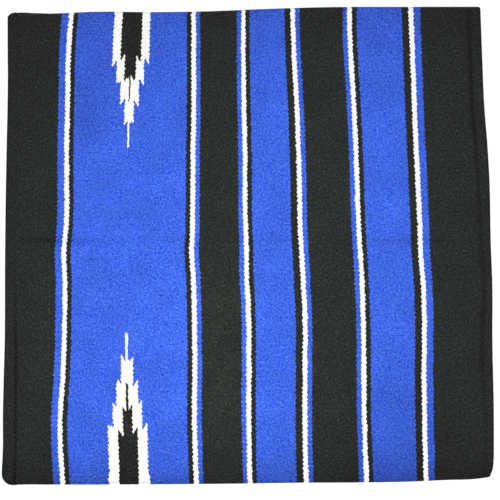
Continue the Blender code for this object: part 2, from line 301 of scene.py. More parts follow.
@dataclass(frozen=True)
class StripePlan:
    """The order of the stripes, in stitches from the left side, and the stepped spires' shape.

    Between two bands lie three thin stripes: a guard, a white line and a guard.
    """

    bands: tuple[Band, ...] = (
        Band(Yarn.BLACK, 22),
        Band(Yarn.BLUE, 49),
        Band(Yarn.BLACK, 17, 0.56),
        Band(Yarn.BLUE, 17),
        Band(Yarn.BLACK, 19, 0.61),
        Band(Yarn.BLUE, 19),
        Band(Yarn.BLACK, 27, 0.55),
    )
    lines: tuple[tuple[int, int, int], ...] = (
        (3, 2, 2),
        (2, 2, 2),
        (2, 2, 2),
        (3, 2, 2),
        (2, 2, 2),
        (3, 2, 3),
    )
    brick_offset: float = 0.25
    motif_axis: float = 53.75
    spire_black: float = 0.30
    fold_spire: Spire = Spire(
        white_steps=(
            Step(0.0, 4.4, 49.4, 52.9),
            Step(4.4, 8.0, 39.8, 43.2),
            Step(8.0, 12.0, 30.6, 33.6),
            Step(12.0, 16.0, 20.9, 23.9),
        ),
        black_steps=(
            Step(0.0, 5.0, 28.6, 31.7),
            Step(5.0, 8.6, 18.8, 22.2),
        ),
        white_line=(0.80, 63.0),
        black_line=(0.62, 40.7),
    )
    open_spire: Spire = Spire(
        white_steps=(
            Step(0.0, 5.4, 52.4, 55.9),
            Step(5.4, 9.0, 42.4, 45.5),
            Step(9.0, 12.1, 32.8, 35.9),
            Step(12.1, 16.4, 23.4, 26.3),
        ),
        black_steps=(
            Step(0.0, 4.4, 31.0, 34.1),
            Step(4.4, 8.1, 20.8, 24.3),
        ),
        white_line=(1.15, 65.7),
        black_line=(0.95, 43.6),
    )

    def stripes(self) -> list[Band]:
        """Return every stripe from left to right, with the thin lines between the bands.

        Returns:
            The stripes.
        """
        found = [self.bands[0]]
        for near, far, widths in zip(self.bands, self.bands[1:], self.lines):
            yarns = (far.yarn, Yarn.WHITE, near.yarn)
            found += [Band(yarn, stitches) for yarn, stitches in zip(yarns, widths)]
            found.append(far)
        return found

    def starts(self) -> list[int]:
        """Return the stitch at which each stripe starts, and last the one at which the cloth ends."""
        widths = [stripe.stitches for stripe in self.stripes()]
        return [sum(widths[:index]) for index in range(len(widths) + 1)]

    def known_counts(self) -> list[float]:
        """Return the counts of the places whose x the outline knows.

        Returns:
            The counts of the left side, left line, spires' axis, other white lines and right side.
        """
        starts = self.starts()
        lines = []
        for stripe, start in zip(self.stripes(), starts):
            if stripe.yarn is Yarn.WHITE:
                lines.append(start + stripe.stitches / 2 + self.brick_offset)
        return [0.0, lines[0], self.motif_axis, *lines[1:], float(starts[-1])]


@dataclass(frozen=True)
class Outline:
    """The blanket's outline and its rows in plan, in metres.

    The soft cloth strays a little from the plain outline: swells, in millimetres, give how far the
    fold, the sides and the open edge stray, at shares of the width or of the length. A wander gives
    x of a line, in millimetres, at the y of each of the wander_rows. A wobble wave has its scale
    along a line, how far apart the lines lie in it, a seed and its strength.
    """

    fold_width: float = 0.794
    length: float = 0.7965
    left_flare: float = 0.0097
    left_flare_power: float = 1.5
    right_flare: float = 0.0232
    fold_tilt: float = 0.0113
    open_rise: float = 0.0092
    open_rise_start: float = 0.3
    open_rise_power: float = 2.2
    crease_to_fold: float = 0.386
    left_corner: float = 0.0175
    right_corner: float = 0.004
    fold_corners: tuple[float, float] = (0.0105, 0.0030)
    middle_x: float = 0.006889
    middle_y: float = -0.395425
    roll_reach: float = 0.0048
    least_reach: float = 0.0003
    corner_run: float = 0.040
    fold_swell_at: tuple[float, ...] = (
        0.0, 0.02, 0.04, 0.065, 0.09, 0.19, 0.30, 0.42, 0.55, 0.68, 0.85, 1.0,
    )
    fold_swell: tuple[float, ...] = (2.9, 3.3, 2.9, 0.7, 0.5, 2.9, 0.6, 0.6, 3.5, 5.1, 3.5, 1.8)
    right_swell_at: tuple[float, ...] = (
        0.0, 0.11, 0.20, 0.28, 0.35, 0.49, 0.58, 0.70, 0.85, 0.94, 0.955, 0.968, 0.981, 0.992, 1.0,
    )
    right_swell: tuple[float, ...] = (
        1.5, 0.7, 0.6, 3.0, 4.1, 2.6, 3.0, 0.8, 1.2, 0.9, 0.8, 0.3, -0.4, -2.3, -5.4,
    )
    left_swell_at: tuple[float, ...] = (
        0.0, 0.07, 0.14, 0.20, 0.27, 0.55, 0.62, 0.69, 0.78, 0.86, 0.92, 0.96, 1.0,
    )
    left_swell: tuple[float, ...] = (
        0.0, 0.4, 1.1, 0.8, 0.1, -0.2, 0.5, 0.9, 0.2, 0.0, 0.9, 0.2, 0.0,
    )
    open_swell_at: tuple[float, ...] = (
        0.0, 0.012, 0.025, 0.045, 0.1, 0.2, 0.47, 0.62, 0.7, 0.84, 0.91, 0.97, 1.0,
    )
    open_swell: tuple[float, ...] = (
        0.4, 1.2, 1.3, 0.5, 0.5, 0.4, -0.6, -1.1, -0.3, 0.5, -0.5, -0.7, -3.2,
    )
    wander_rows: tuple[float, ...] = (
        0.3887, 0.3282, 0.2375, 0.1467, 0.0661, 0.0157,
        -0.0078, -0.0515, -0.1254, -0.2128, -0.3001, -0.3993,
    )
    wander: tuple[tuple[float, ...], ...] = (
        (-296.2, -301.0, -302.4, -304.2, -303.4, -306.4, -308.8, -307.0, -307.4, -309.9, -315.5, -310.8),
        (-193.2, -196.3, -199.3, -201.2, -202.0, -202.6, -203.0, -203.2, -203.4, -203.0, -201.5, -198.6),
        (-91.0, -90.4, -90.5, -91.9, -92.1, -93.0, -93.9, -91.5, -89.5, -88.7, -89.3, -86.0),
        (-7.1, -7.1, -6.3, -4.5, -4.4, -2.9, -2.2, -1.6, 1.7, 1.9, 2.3, 3.9),
        (75.3, 77.3, 82.3, 85.9, 87.5, 89.1, 90.6, 92.8, 96.3, 96.4, 96.1, 98.0),
        (170.6, 172.5, 178.2, 182.4, 185.1, 187.4, 188.9, 191.6, 194.1, 195.2, 196.1, 199.7),
        (274.1, 276.7, 280.1, 283.8, 287.8, 289.8, 290.2, 294.1, 296.9, 296.3, 297.3, 299.7),
    )
    wobble: float = 0.0006
    wobble_waves: tuple[tuple[float, float, float, float], ...] = (
        (26.0, 5.3, 1.7, 1.0),
        (90.0, 2.9, 4.1, 0.6),
    )

    @property
    def crease_y(self) -> float:
        """Y of the crease, where the blanket bends."""
        return -self.crease_to_fold - self.middle_y

    def side_x(self, side: Side, share: float, inset: Numbers = 0.0) -> Numbers:
        """Return x at a distance inside one side.

        Args:
            side: The side.
            share: Share of the length from the fold.
            inset: Distance from the side.

        Returns:
            The x.
        """
        if side is Side.LEFT:
            swell = stray(self.left_swell_at, self.left_swell, share)
            flare = self.left_flare * share**self.left_flare_power
            return -self.fold_width / 2 - flare + swell - self.middle_x + inset
        swell = stray(self.right_swell_at, self.right_swell, share)
        flare = self.right_flare * sin(pi / 2 * share)
        return self.fold_width / 2 + flare + swell - self.middle_x - inset

    def roll_line(self, across: Numbers) -> Numbers:
        """Return y where the layers end and the roll starts, at shares of the width."""
        return self.fold_tilt * (across - 0.5) - self.roll_reach - self.middle_y

    def open_edge(self, across: Numbers) -> Numbers:
        """Return y of the open edge at shares of the width.

        Args:
            across: Shares of the width.

        Returns:
            The y of each place.
        """
        rise = np.clip((across - self.open_rise_start) / (1 - self.open_rise_start), 0.0, None)
        swell = stray(self.open_swell_at, self.open_swell, np.clip(across, 0.0, 1.0))
        return -self.length + self.open_rise * rise**self.open_rise_power - swell - self.middle_y

    def fold_reach(self, across: np.ndarray, from_left: np.ndarray, from_right: np.ndarray) -> np.ndarray:
        """Return how far the roll's middle reaches past the roll line, as a share of its height.

        Args:
            across: Shares of the width.
            from_left: Distances from the left side.
            from_right: Distances from the right side.

        Returns:
            The reaches, of which 1 gives a round roll, and which fall off at the two corners.
        """
        reach = self.roll_reach + stray(self.fold_swell_at, self.fold_swell, np.clip(across, 0.0, 1.0))
        for distance, radius in zip((from_left, from_right), self.fold_corners):
            reach = reach - round_off(distance, radius)
        return np.maximum(reach, self.least_reach) / self.roll_reach

    def draw_in(
        self, y: np.ndarray, end: np.ndarray, from_left: np.ndarray, from_right: np.ndarray
    ) -> np.ndarray:
        """Draw a row in near the open edge, where the two free corners are round.

        Args:
            y: The row's places along the cloth.
            end: Y at which the last row ends.
            from_left: Distances from the left side.
            from_right: Distances from the right side.

        Returns:
            The y of each place, drawn in.
        """
        lift = round_off(from_left, self.left_corner) + round_off(from_right, self.right_corner)
        return y + lift * smooth_step(self.corner_run, 0.0, y - end)

    def share_of(self, y: float) -> float:
        """Return the share of the length at which a y of the cloth's middle lies."""
        return min(max((self.roll_line(0.5) - y) / (self.length - self.roll_reach), 0.0), 1.0)

    def share_beside(self, side: Side, y: float) -> float:
        """Return the share of the length of the row that meets one side at a y.

        Args:
            side: The side.
            y: The place along it.

        Returns:
            The share.
        """
        across = np.array((0.0 if side is Side.LEFT else 1.0, 0.5))
        ends = self.roll_line(across) if y >= self.crease_y else self.open_edge(across)
        done = (y - self.crease_y) / (ends[0] - self.crease_y)
        return self.share_of(float(self.crease_y + (ends[1] - self.crease_y) * done))

    def line_places(self, y: float) -> list[float]:
        """Return x of the left white line, the spires' axis and the other white lines at a y.

        Args:
            y: The place along the cloth.

        Returns:
            The seven places, from left to right.
        """
        rows = [-place for place in self.wander_rows]
        along = min(max(-y, rows[0]), rows[-1])
        found = []
        for index, path in enumerate(self.wander):
            shake = 0.0
            for scale, apart, seed, strength in self.wobble_waves:
                shake += strength * noise.noise(Vector((y * scale, apart * index, seed)))
            found.append(stray(rows, path, along) + self.wobble * shake)
        return found


@dataclass
class Skin:
    """A closed skin of stitch rows, by row and by place in the ring around it.

    The weave counts are stitches across and rows along, and the mask gives how much shade is painted at
    a point, in a seam, along the crease and at a round side, from 0 to about 1.
    """

    places: np.ndarray
    weave: np.ndarray
    # a mask of painted shade at each point, or none
    painted_shade: np.ndarray | None = None
    weld: float = 2e-6

    def lay(self, skin: bmesh.types.BMesh) -> None:
        """Lay the skin as a grid over its places, join its sides and close its two ends.

        The ends are flat and their edges sharp, so that they don't tilt the shading beside them.

        Args:
            skin: The mesh that it is added to, which holds no other verts yet.
        """
        rows, ring = self.places.shape[:2]
        bmesh.ops.create_grid(skin, x_segments=ring - 1, y_segments=rows - 1, size=0.5)
        weave_map = skin.loops.layers.uv.new("weave")
        # a float layer that carries the mask of painted shade to the material
        painted_shades = skin.verts.layers.float.new("painted_shade")
        flat_weave = self.weave.reshape(-1, 2).tolist()
        flat_painted_shade = np.zeros(rows * ring) if self.painted_shade is None else self.painted_shade.reshape(-1)
        for face in skin.faces:
            for corner in face.loops:
                corner[weave_map].uv = flat_weave[corner.vert.index]
        flat_places = self.places.reshape(-1, 3).tolist()
        for vert, place, painted_shade in zip(skin.verts, flat_places, flat_painted_shade.tolist()):
            vert.co = place
            vert[painted_shades] = painted_shade
        rims = [vert for vert in skin.verts if vert.is_boundary]
        bmesh.ops.remove_doubles(skin, verts=rims, dist=self.weld)
        bmesh.ops.holes_fill(skin, edges=[edge for edge in skin.edges if edge.is_boundary], sides=0)
        bmesh.ops.recalc_face_normals(skin, faces=skin.faces[:])
        for face in skin.faces:
            face.smooth = len(face.verts) <= 4
            if not face.smooth:
                for edge in face.edges:
                    edge.smooth = False


def add_piece(name: str, skin: bmesh.types.BMesh) -> bpy.types.Object:
    """Add a mesh to the scene as one named piece at the origin.

    Args:
        name: Name of the piece.
        skin: Its mesh, which is freed.

    Returns:
        The piece.
    """
    mesh = bpy.data.meshes.new(name)
    skin.to_mesh(mesh)
    skin.free()
    piece = bpy.data.objects.new(name, mesh)
    bpy.context.scene.collection.objects.link(piece)
    return piece


def lay_skins(name: str, skins: Sequence[Skin]) -> bpy.types.Object:
    """Lay one or more closed skins as one piece, with its weave map.

    Args:
        name: Name of the piece.
        skins: Its skins.

    Returns:
        The piece.
    """
    joined = bmesh.new()
    for skin in skins:
        one = bmesh.new()
        skin.lay(one)
        shell = bpy.data.meshes.new("shell")
        one.to_mesh(shell)
        one.free()
        joined.from_mesh(shell)
        bpy.data.meshes.remove(shell)
    return add_piece(name, joined)


@dataclass(frozen=True)
class CrossSection:
    """The cloth's closed cross-section from side to side, as arrays with an entry for each place.

    A place near a side is a distance from it, and its side is the direction of that side. A place
    in the middle is a count of stitches, and its side is 0. Heights are above the inside face.
    """

    side: np.ndarray
    place: np.ndarray
    height: np.ndarray
    outer: np.ndarray

    def within(self, distance: float) -> np.ndarray:
        """Return which places lie nearer to a side than a distance."""
        return (self.side != 0) & (self.place < distance)


@dataclass
class WovenLayer:
    """One layer of the folded cloth: its skin, turned hems, sewing and selvage.

    Each spot of painted shade darkens a stretch of the crease: its x, its reach and its strength.
    A lift wave has its scales across and along, and a seed.
    """

    layer: Layer
    outline: Outline = field(default_factory=Outline)
    cloth: Cloth = field(default_factory=Cloth)
    hem: Hem = field(default_factory=Hem)
    stripes: StripePlan = field(default_factory=StripePlan)
    lift_height: float = 0.0006
    lift_run: float = 0.09
    lift_waves: tuple[tuple[float, float, float], ...] = ((4.0, 5.0, 2.3), (11.0, 9.0, 7.1))
    small_lift: float = 0.5
    flat_band: float = 0.0011
    selvage_reach: float = 0.0012
    selvage_radius: float = 0.00225
    selvage_clearance: float = 0.00015
    selvage_side_gap: float = 0.003
    selvage_end_gap: float = 0.0003
    selvage_sides: int = 12
    selvage_waist: float = 0.05
    selvage_taper: float = 0.7
    selvage_row_offset: float = 0.3
    rings_per_stitch: int = 4
    end_steps: int = 4
    side_steps: int = 3
    near_side: tuple[float, ...] = (
        0.0026, 0.0042, 0.0075, 0.0115, 0.0150, 0.0170, 0.0182, 0.0191, 0.0200,
        0.0209, 0.0218, 0.0230, 0.0241, 0.0244, 0.0268, 0.0272, 0.0330, 0.0390,
    )
    inner_parts: int = 3
    inner_gap: float = 2.5
    # reaches of the painted shade in the two seams, and strength and reach of the painted shade at the
    # round sides
    left_seam_shade: float = 0.0017
    right_seam_shade: float = 0.0033
    rim_shade: float = 0.70
    rim_shade_reach: float = 0.0022
    # painted shade along the whole crease, and stronger spots of it
    crease_shade_base: float = 0.10
    crease_shade_spots: tuple[tuple[float, float, float], ...] = (
        (-0.338, 0.034, 0.45),
        (-0.288, 0.012, 0.35),
        (0.290, 0.045, 0.22),
    )

    def lift(self, x: np.ndarray, y: np.ndarray) -> np.ndarray:
        """Return how far the soft upper cloth stands up above its flat place.

        Args:
            x: Places across the cloth.
            y: Places along the cloth.

        Returns:
            The rises, which ease to nothing along the folded edge.
        """
        broad, small = (waver(x * across, y * along, seed) for across, along, seed in self.lift_waves)
        eased = smooth_step(0.0, self.lift_run, self.outline.roll_line(0.5) - y)
        return self.lift_height * (1.0 + broad + self.small_lift * small) * eased

    def height_above(self, x: Numbers, y: Numbers, height: Numbers) -> np.ndarray:
        """Return the blanket's own heights for heights inside this layer.

        Args:
            x: Places across the cloth.
            y: Places along the cloth.
            height: Heights above the layer's inside face.

        Returns:
            The heights above what the blanket lies on.
        """
        x, y, height = np.broadcast_arrays(x, y, height)
        cloth = self.cloth
        if self.layer is Layer.LOWER:
            return cloth.thickness - height
        sink = cloth.crease_depth * bell(y - self.outline.crease_y, cloth.crease_reach)
        raised = cloth.thickness + cloth.layer_gap + height + self.lift(x, y)
        return raised - sink * height / cloth.thickness

    def stand(self, x: np.ndarray, y: np.ndarray, height: np.ndarray) -> np.ndarray:
        """Return a row's points at heights inside this layer."""
        return np.stack([x, y, self.height_above(x, y, height)], axis=1)

    def signed_row(self, row: Numbers) -> Numbers:
        """Return a row's count, which falls below nothing past the roll, in the lower layer."""
        return row if self.layer is Layer.UPPER else -self.cloth.roll_rows - row

    def weave_row(self, counts: np.ndarray, row: Numbers) -> np.ndarray:
        """Return the weave map of one row."""
        return np.stack(np.broadcast_arrays(counts, self.signed_row(row)), axis=1)

    def rib(self, row: float) -> float:
        """Return how far the face sinks between two rows, of which it does little beside the roll."""
        return self.cloth.rib_depth * (0.5 + 0.5 * cos(2 * pi * row)) * smooth_step(0.0, 1.0, row)

    def ribbed(self, ring: CrossSection, heights: np.ndarray, row: float) -> np.ndarray:
        """Sink both faces between two rows, but not the round sides and the ends' middle.

        Args:
            ring: The cross-section.
            heights: Its heights.
            row: The row.

        Returns:
            The sunk heights.
        """
        from_middle = heights - self.cloth.middle
        sinks = ~ring.within(self.cloth.side_radius - 1e-5) & (np.abs(from_middle) > self.flat_band)
        return heights - np.sign(from_middle) * np.where(sinks, self.rib(row), 0.0)

    def face_height(self, distance: float, outer: bool) -> float:
        """Return the height of a face at a distance from the side.

        Args:
            distance: Distance from the side of the cloth.
            outer: Whether this is the outside face, or else the inside one with the hem's room.

        Returns:
            The height above the inside face.
        """
        if outer:
            return self.cloth.thickness
        in_rebate = self.cloth.side_radius < distance - self.hem.rebate_clearance < self.hem.turn
        return self.hem.rebate if in_rebate else 0.0

    def half_ring(self, outer: bool) -> list[tuple[int, float, float, bool]]:
        """Return the places of one face from left to right, with its half of both round sides.

        Args:
            outer: Whether this is the outside face.

        Returns:
            The places, each with its side, place, height and face.
        """
        middle = self.cloth.middle
        flat = self.cloth.thickness if outer else 0.0
        near = []
        for step in range(1, self.side_steps + 1):
            angle = pi / 2 * step / self.side_steps
            height = middle + (flat - middle) * sin(angle)
            near.append((self.cloth.side_radius * (1 - cos(angle)), height))
        near += [(distance, self.face_height(distance, outer)) for distance in self.near_side]
        found = [(Side.LEFT.sign, place, height, outer) for place, height in near]
        found += [(0, count, flat, outer) for count in self.inner_counts()]
        return found + [(Side.RIGHT.sign, place, height, outer) for place, height in near[::-1]]

    def inner_counts(self) -> list[float]:
        """Return the stitch counts at which the cross-section has its places between the hems.

        Returns:
            The counts.
        """
        known = self.stripes.known_counts()
        clear = self.near_side[-1] / self.cloth.stitch_pitch + self.inner_gap
        found = []
        for low, high in zip(known, known[1:]):
            found += np.linspace(low, high, self.inner_parts, endpoint=False).tolist()
        return [count for count in found if clear < count < known[-1] - clear]

    def ring(self) -> CrossSection:
        """Return the whole cross-section: its first place comes again at the end.

        Returns:
            The cross-section, from the left side over the outside face and back along the inside.
        """
        left, right = ((side.sign, 0.0, self.cloth.middle, True) for side in Side)
        spots = [left, *self.half_ring(True), right, *self.half_ring(False)[::-1], left]
        return CrossSection(*(np.array(column) for column in zip(*spots)))

    def groove(self, ring: CrossSection, share: float) -> np.ndarray:
        """Return how deep the hems' seams pull in the outside face around the cross-section.

        Args:
            ring: The cross-section.
            share: Share of the length.

        Returns:
            The depth at each place.
        """
        left, right = (self.hem.seam_pull(side, share) for side in Side)
        pull = np.where(ring.outer & (ring.side != 0), np.where(ring.side < 0, left, right), 0.0)
        off = ring.place - self.hem.seam_inset
        return self.hem.groove_depth * pull * bell(off, self.hem.groove_reach)

    def row_place(self, row: float, across: Numbers, end: Numbers) -> Numbers:
        """Return y of a row of stitches.

        Args:
            row: Rows from the roll line.
            across: Shares of the width.
            end: Y at which the last row ends.

        Returns:
            The y of each place.
        """
        cloth = self.cloth
        crease = self.outline.crease_y
        if row <= cloth.rows_to_crease:
            share = row / cloth.rows_to_crease
            return self.outline.roll_line(across) * (1 - share) + crease * share
        share = (row - cloth.rows_to_crease) / (cloth.rows_to_selvage - cloth.rows_to_crease)
        return crease * (1 - share) + end * share

    def row_middle(self, row: float) -> float:
        """Return y of a row of stitches in the middle of the cloth."""
        return float(self.row_place(row, 0.5, self.outline.open_edge(0.5)))

    def x_places(self, ring: CrossSection, y_guess: float) -> tuple[np.ndarray, np.ndarray]:
        """Return x and the stitch count of every ring place near a given y.

        Args:
            ring: The cross-section.
            y_guess: Y of the row, measured in the middle of the cloth.

        Returns:
            Two arrays: the places across, and their counts of stitches from the left side.
        """
        share = self.outline.share_of(y_guess)
        left, right = (self.outline.side_x(side, share) for side in Side)
        counts = self.stripes.known_counts()
        places = [left, *self.outline.line_places(y_guess), right]
        shifts = [self.hem.seam_shift(side, share) for side in Side]
        shift = np.where(ring.outer, np.where(ring.side < 0, *shifts), 0.0)
        inset = self.hem.follow_seam(ring.place, shift, self.near_side[-1])
        x = np.interp(ring.place, counts, places)
        x = np.where(ring.side < 0, left + inset, x)
        x = np.where(ring.side > 0, right - inset, x)
        return x, np.interp(x, places, counts)

    def edge_counts(self, ring: CrossSection, counts: np.ndarray) -> np.ndarray:
        """Return stitch counts that run on evenly around the two round sides.

        Args:
            ring: The cross-section.
            counts: Its stitch counts, measured straight across.

        Returns:
            The counts, measured around the sides.
        """
        radius = self.cloth.side_radius
        inward = radius - ring.place
        around = np.arcsin(np.clip(inward / radius, -1.0, 1.0)) * radius
        passed = np.where(ring.outer, around, radius * pi - around)
        shift = ring.side * (passed - inward) / self.cloth.stitch_pitch
        return counts + np.where(ring.within(radius + 1e-6), shift, 0.0)

    def close_end(
        self, heights: np.ndarray, in_selvage: np.ndarray, share: float
    ) -> tuple[np.ndarray, np.ndarray]:
        """Close the open edge: round beside the hems, and hollowed for the cord between them.

        Args:
            heights: The last row's heights.
            in_selvage: Which places the edge cord lies beside.
            share: How far around the end the row lies.

        Returns:
            How far the row lies past the end along Y, and its heights.
        """
        middle = self.cloth.middle
        angle = pi / 2 * share
        lip = self.selvage_radius + self.selvage_clearance
        lip_angle = asin(min(1.0, (middle - self.cloth.rib_depth) / lip)) * (1 - share)
        past_round = -self.cloth.side_radius * sin(angle)
        past_lip = lip * cos(lip_angle) - self.selvage_reach
        round_heights = middle + (heights - middle) * cos(angle)
        lip_heights = middle + np.sign(heights - middle) * lip * sin(lip_angle)
        past = np.where(in_selvage, past_lip, past_round)
        return past, np.where(in_selvage, lip_heights, round_heights)

    def skin(self) -> bpy.types.Object:
        """Build the cloth of this layer, from the roll line to the open edge.

        Returns:
            The cloth.
        """
        ring = self.ring()
        outline, cloth = self.outline, self.cloth
        steps = cloth.rows_to_selvage * cloth.steps_per_row
        places, weave, painted_shade = [], [], []
        for station in range(steps + 1 + self.end_steps):
            row = min(station, steps) / cloth.steps_per_row
            end_share = max(0, station - steps) / self.end_steps
            y_guess = self.row_middle(row)
            x, counts = self.x_places(ring, y_guess)
            left, right = x[0], x[len(x) // 2]
            across = (x - left) / (right - left)
            in_selvage = np.minimum(x - left, right - x) > self.hem.turn + self.selvage_side_gap
            room = np.where(in_selvage, self.selvage_radius + self.selvage_reach, cloth.side_radius)
            end = outline.open_edge(across) + room
            y = outline.draw_in(self.row_place(row, across, end), end, x - left, right - x)
            heights = ring.height - self.groove(ring, outline.share_of(y_guess))
            heights = self.ribbed(ring, heights, row)
            if end_share > 0:
                past, heights = self.close_end(heights, in_selvage, end_share)
                y = y + past
            extra = end_share * cloth.side_radius * pi / 2 / cloth.row_pitch
            places.append(self.stand(x, y, heights))
            weave.append(self.weave_row(self.edge_counts(ring, counts), row + extra))
            # the mask of painted shade in the seams, along the crease and at the round sides
            painted_shade.append(self.painted_shade_mask(ring, x, y))
        skin = Skin(np.array(places), np.array(weave), np.array(painted_shade))
        return lay_skins(f"{self.layer.value}_cloth", [skin])

    def painted_shade_mask(self, ring: CrossSection, x: np.ndarray, y: np.ndarray) -> np.ndarray:
        """Return how much shade is painted at each place, in the seam, crease and round sides, from 0 to
        about 1.

        Args:
            ring: The cross-section.
            x: Places across.
            y: Places along.

        Returns:
            The mask, which is 0 on the inside face.
        """
        share = self.outline.share_of(float(y[len(y) // 4]))
        # painted shade along the crease, stronger at a few spots
        found = np.full(len(x), self.crease_shade_base)
        for place, reach, strength in self.crease_shade_spots:
            found = found + strength * bell(x - place, reach)
        found = found * bell(y - self.outline.crease_y, self.cloth.crease_reach)
        left, right = x[0], x[len(x) // 2]
        for side, beside, reach in (
            (Side.LEFT, x - left, self.left_seam_shade),
            (Side.RIGHT, right - x, self.right_seam_shade),
        ):
            # painted shade in the seam's groove and at the round side
            inset = self.hem.seam_inset + self.hem.seam_shift(side, share)
            seam = bell(beside - inset, reach) * self.hem.seam_pull(side, share)
            rim = self.rim_shade * bell(beside, self.rim_shade_reach)
            found = np.maximum(np.maximum(found, seam), rim)
        return np.where(ring.outer, found, 0.0)

    def hem_skin(self, side: Side) -> bpy.types.Object:
        """Build the strip of cloth that is turned to the inside along one side.

        Args:
            side: The side of the cloth.

        Returns:
            The strip, with its raw edge inwards.
        """
        hem, cloth, outline = self.hem, self.cloth, self.outline
        distances, ply_heights = hem.ring()
        shows = ply_heights == 0.0
        pull = hem.inner_pull * hem.groove_depth * bell(distances - hem.seam_inset, hem.groove_reach)
        rim = smooth_step(hem.fray_start, hem.turn, distances)
        across = distances / outline.fold_width
        from_sides = (distances, np.full_like(distances, 1.0))
        fray_seed = hem.fray_seeds[side is Side.RIGHT]
        if side is Side.RIGHT:
            across = 1 - across
            from_sides = from_sides[::-1]
        end = outline.open_edge(across) + cloth.side_radius - hem.end_inset
        places, weave = [], []
        for station in range(cloth.rows_to_selvage * cloth.steps_per_row + 1):
            row = max(station / cloth.steps_per_row, hem.rows_to_roll)
            y = outline.draw_in(self.row_place(row, across, end), end, *from_sides)
            share = outline.share_of(self.row_middle(row))
            sunk = np.where(shows, pull * hem.seam_pull(side, share) + self.rib(row), 0.0)
            frayed = hem.fray * noise.noise(Vector((row * hem.fray_scale, fray_seed, 0.0)))
            inset = hem.follow_seam(distances, hem.seam_shift(side, share), hem.turn) + frayed * rim
            places.append(self.stand(outline.side_x(side, share, inset), y, ply_heights + sunk))
            weave.append(self.weave_row(-distances / cloth.stitch_pitch, row))
        skin = Skin(np.array(places), np.array(weave))
        return lay_skins(f"{side.value}_hem_{self.layer.value}", [skin])

    def hem_thread(self, side: Side) -> bpy.types.Object:
        """Sew one hem down: a row of stitches in the outside face and one in the hem.

        Args:
            side: The side of the cloth.

        Returns:
            The sewing thread.
        """
        rows = [self.thread_run(side, outer) for outer in (True, False)]
        return lay_skins(f"{side.value}_hem_thread_{self.layer.value}", rows)

    def thread_run(self, side: Side, outer: bool) -> Skin:
        """Return one face's row of stitches: a thread that dives into the cloth between them.

        Args:
            side: The side of the cloth.
            outer: Whether the stitches lie in the outside face, or else in the hem.

        Returns:
            The thread as a thin tube.
        """
        hem, outline = self.hem, self.outline
        across = 0.0 if side is Side.LEFT else 1.0
        first = outline.roll_line(across) - hem.stitches_past_roll * hem.stitch_pitch
        last = float(outline.open_edge(across)) + hem.stitches_to_edge * hem.stitch_pitch
        count = floor((first - last) / hem.stitch_pitch) - 1
        stations = [index + share for index in range(count) for share in hem.stitch_stations]
        angles = 2 * pi * np.arange(hem.thread_sides + 1) / hem.thread_sides
        places = []
        for station in stations + [float(count)]:
            bow = sin(pi * (station - floor(station)))
            y = first - (station + (0.0 if outer else 0.5)) * hem.stitch_pitch
            share = outline.share_beside(side, y)
            pulled = hem.groove_depth * hem.seam_pull(side, share)
            sunk = (hem.stitch_dive * (1 - bow) ** 2 - hem.stitch_stand) * hem.thread_radius
            if outer:
                height = self.cloth.thickness - max(pulled, hem.least_depth * hem.thread_radius) - sunk
            else:
                height = max(hem.inner_pull * pulled, hem.least_inner_depth * hem.thread_radius) + sunk
            radius = hem.thread_radius * (hem.thread_waist + (1 - hem.thread_waist) * bow)
            x = outline.side_x(side, share, hem.seam_inset + hem.seam_shift(side, share))
            z = self.height_above(x, y, height + radius * np.sin(angles))
            places.append(np.stack([x + radius * np.cos(angles), np.full_like(z, y), z], axis=1))
        return Skin(np.array(places), np.zeros((len(places), len(angles), 2)))

    def selvage(self) -> bpy.types.Object:
        """Build the firm cord along the open edge, with the wefts that turn around it.

        Returns:
            The cord.
        """
        open_edge = self.outline.open_edge
        x_ring, counts_ring = self.x_places(self.ring(), float(open_edge(0.5)) + self.selvage_radius)
        face = slice(0, len(x_ring) // 2 + 1)
        x_known, counts_known = x_ring[face], counts_ring[face]
        left, right = x_known[0], x_known[-1]
        inset = self.hem.turn + self.selvage_side_gap + self.selvage_end_gap
        first, last = np.interp((left + inset, right - inset), x_known, counts_known).tolist()
        rings = int((last - first) * self.rings_per_stitch)
        angles = 2 * pi * np.arange(self.selvage_sides + 1) / self.selvage_sides
        places, weave = [], []
        for index in range(rings + 1):
            count = first + (last - first) * index / rings
            x = float(np.interp(count, counts_known, x_known))
            middle_y = float(open_edge((x - left) / (right - left))) + self.selvage_radius
            waist = self.selvage_waist * (0.5 + 0.5 * cos(2 * pi * count))
            share = min(1.0, index / self.rings_per_stitch, (rings - index) / self.rings_per_stitch)
            taper = sqrt(1 - self.selvage_taper * (1 - share) ** 2)
            radius = self.selvage_radius * (1 - waist) * taper
            z = self.height_above(x, middle_y, self.cloth.middle + radius * np.sin(angles))
            places.append(np.stack([np.full_like(z, x), middle_y + radius * np.cos(angles), z], axis=1))
            around = (pi - angles) * radius / self.cloth.row_pitch
            row = self.cloth.rows_to_selvage + self.selvage_row_offset + around
            weave.append(self.weave_row(np.full_like(z, count), row))
        skin = Skin(np.array(places), np.array(weave))
        return lay_skins(f"{self.layer.value}_edge_cord", [skin])


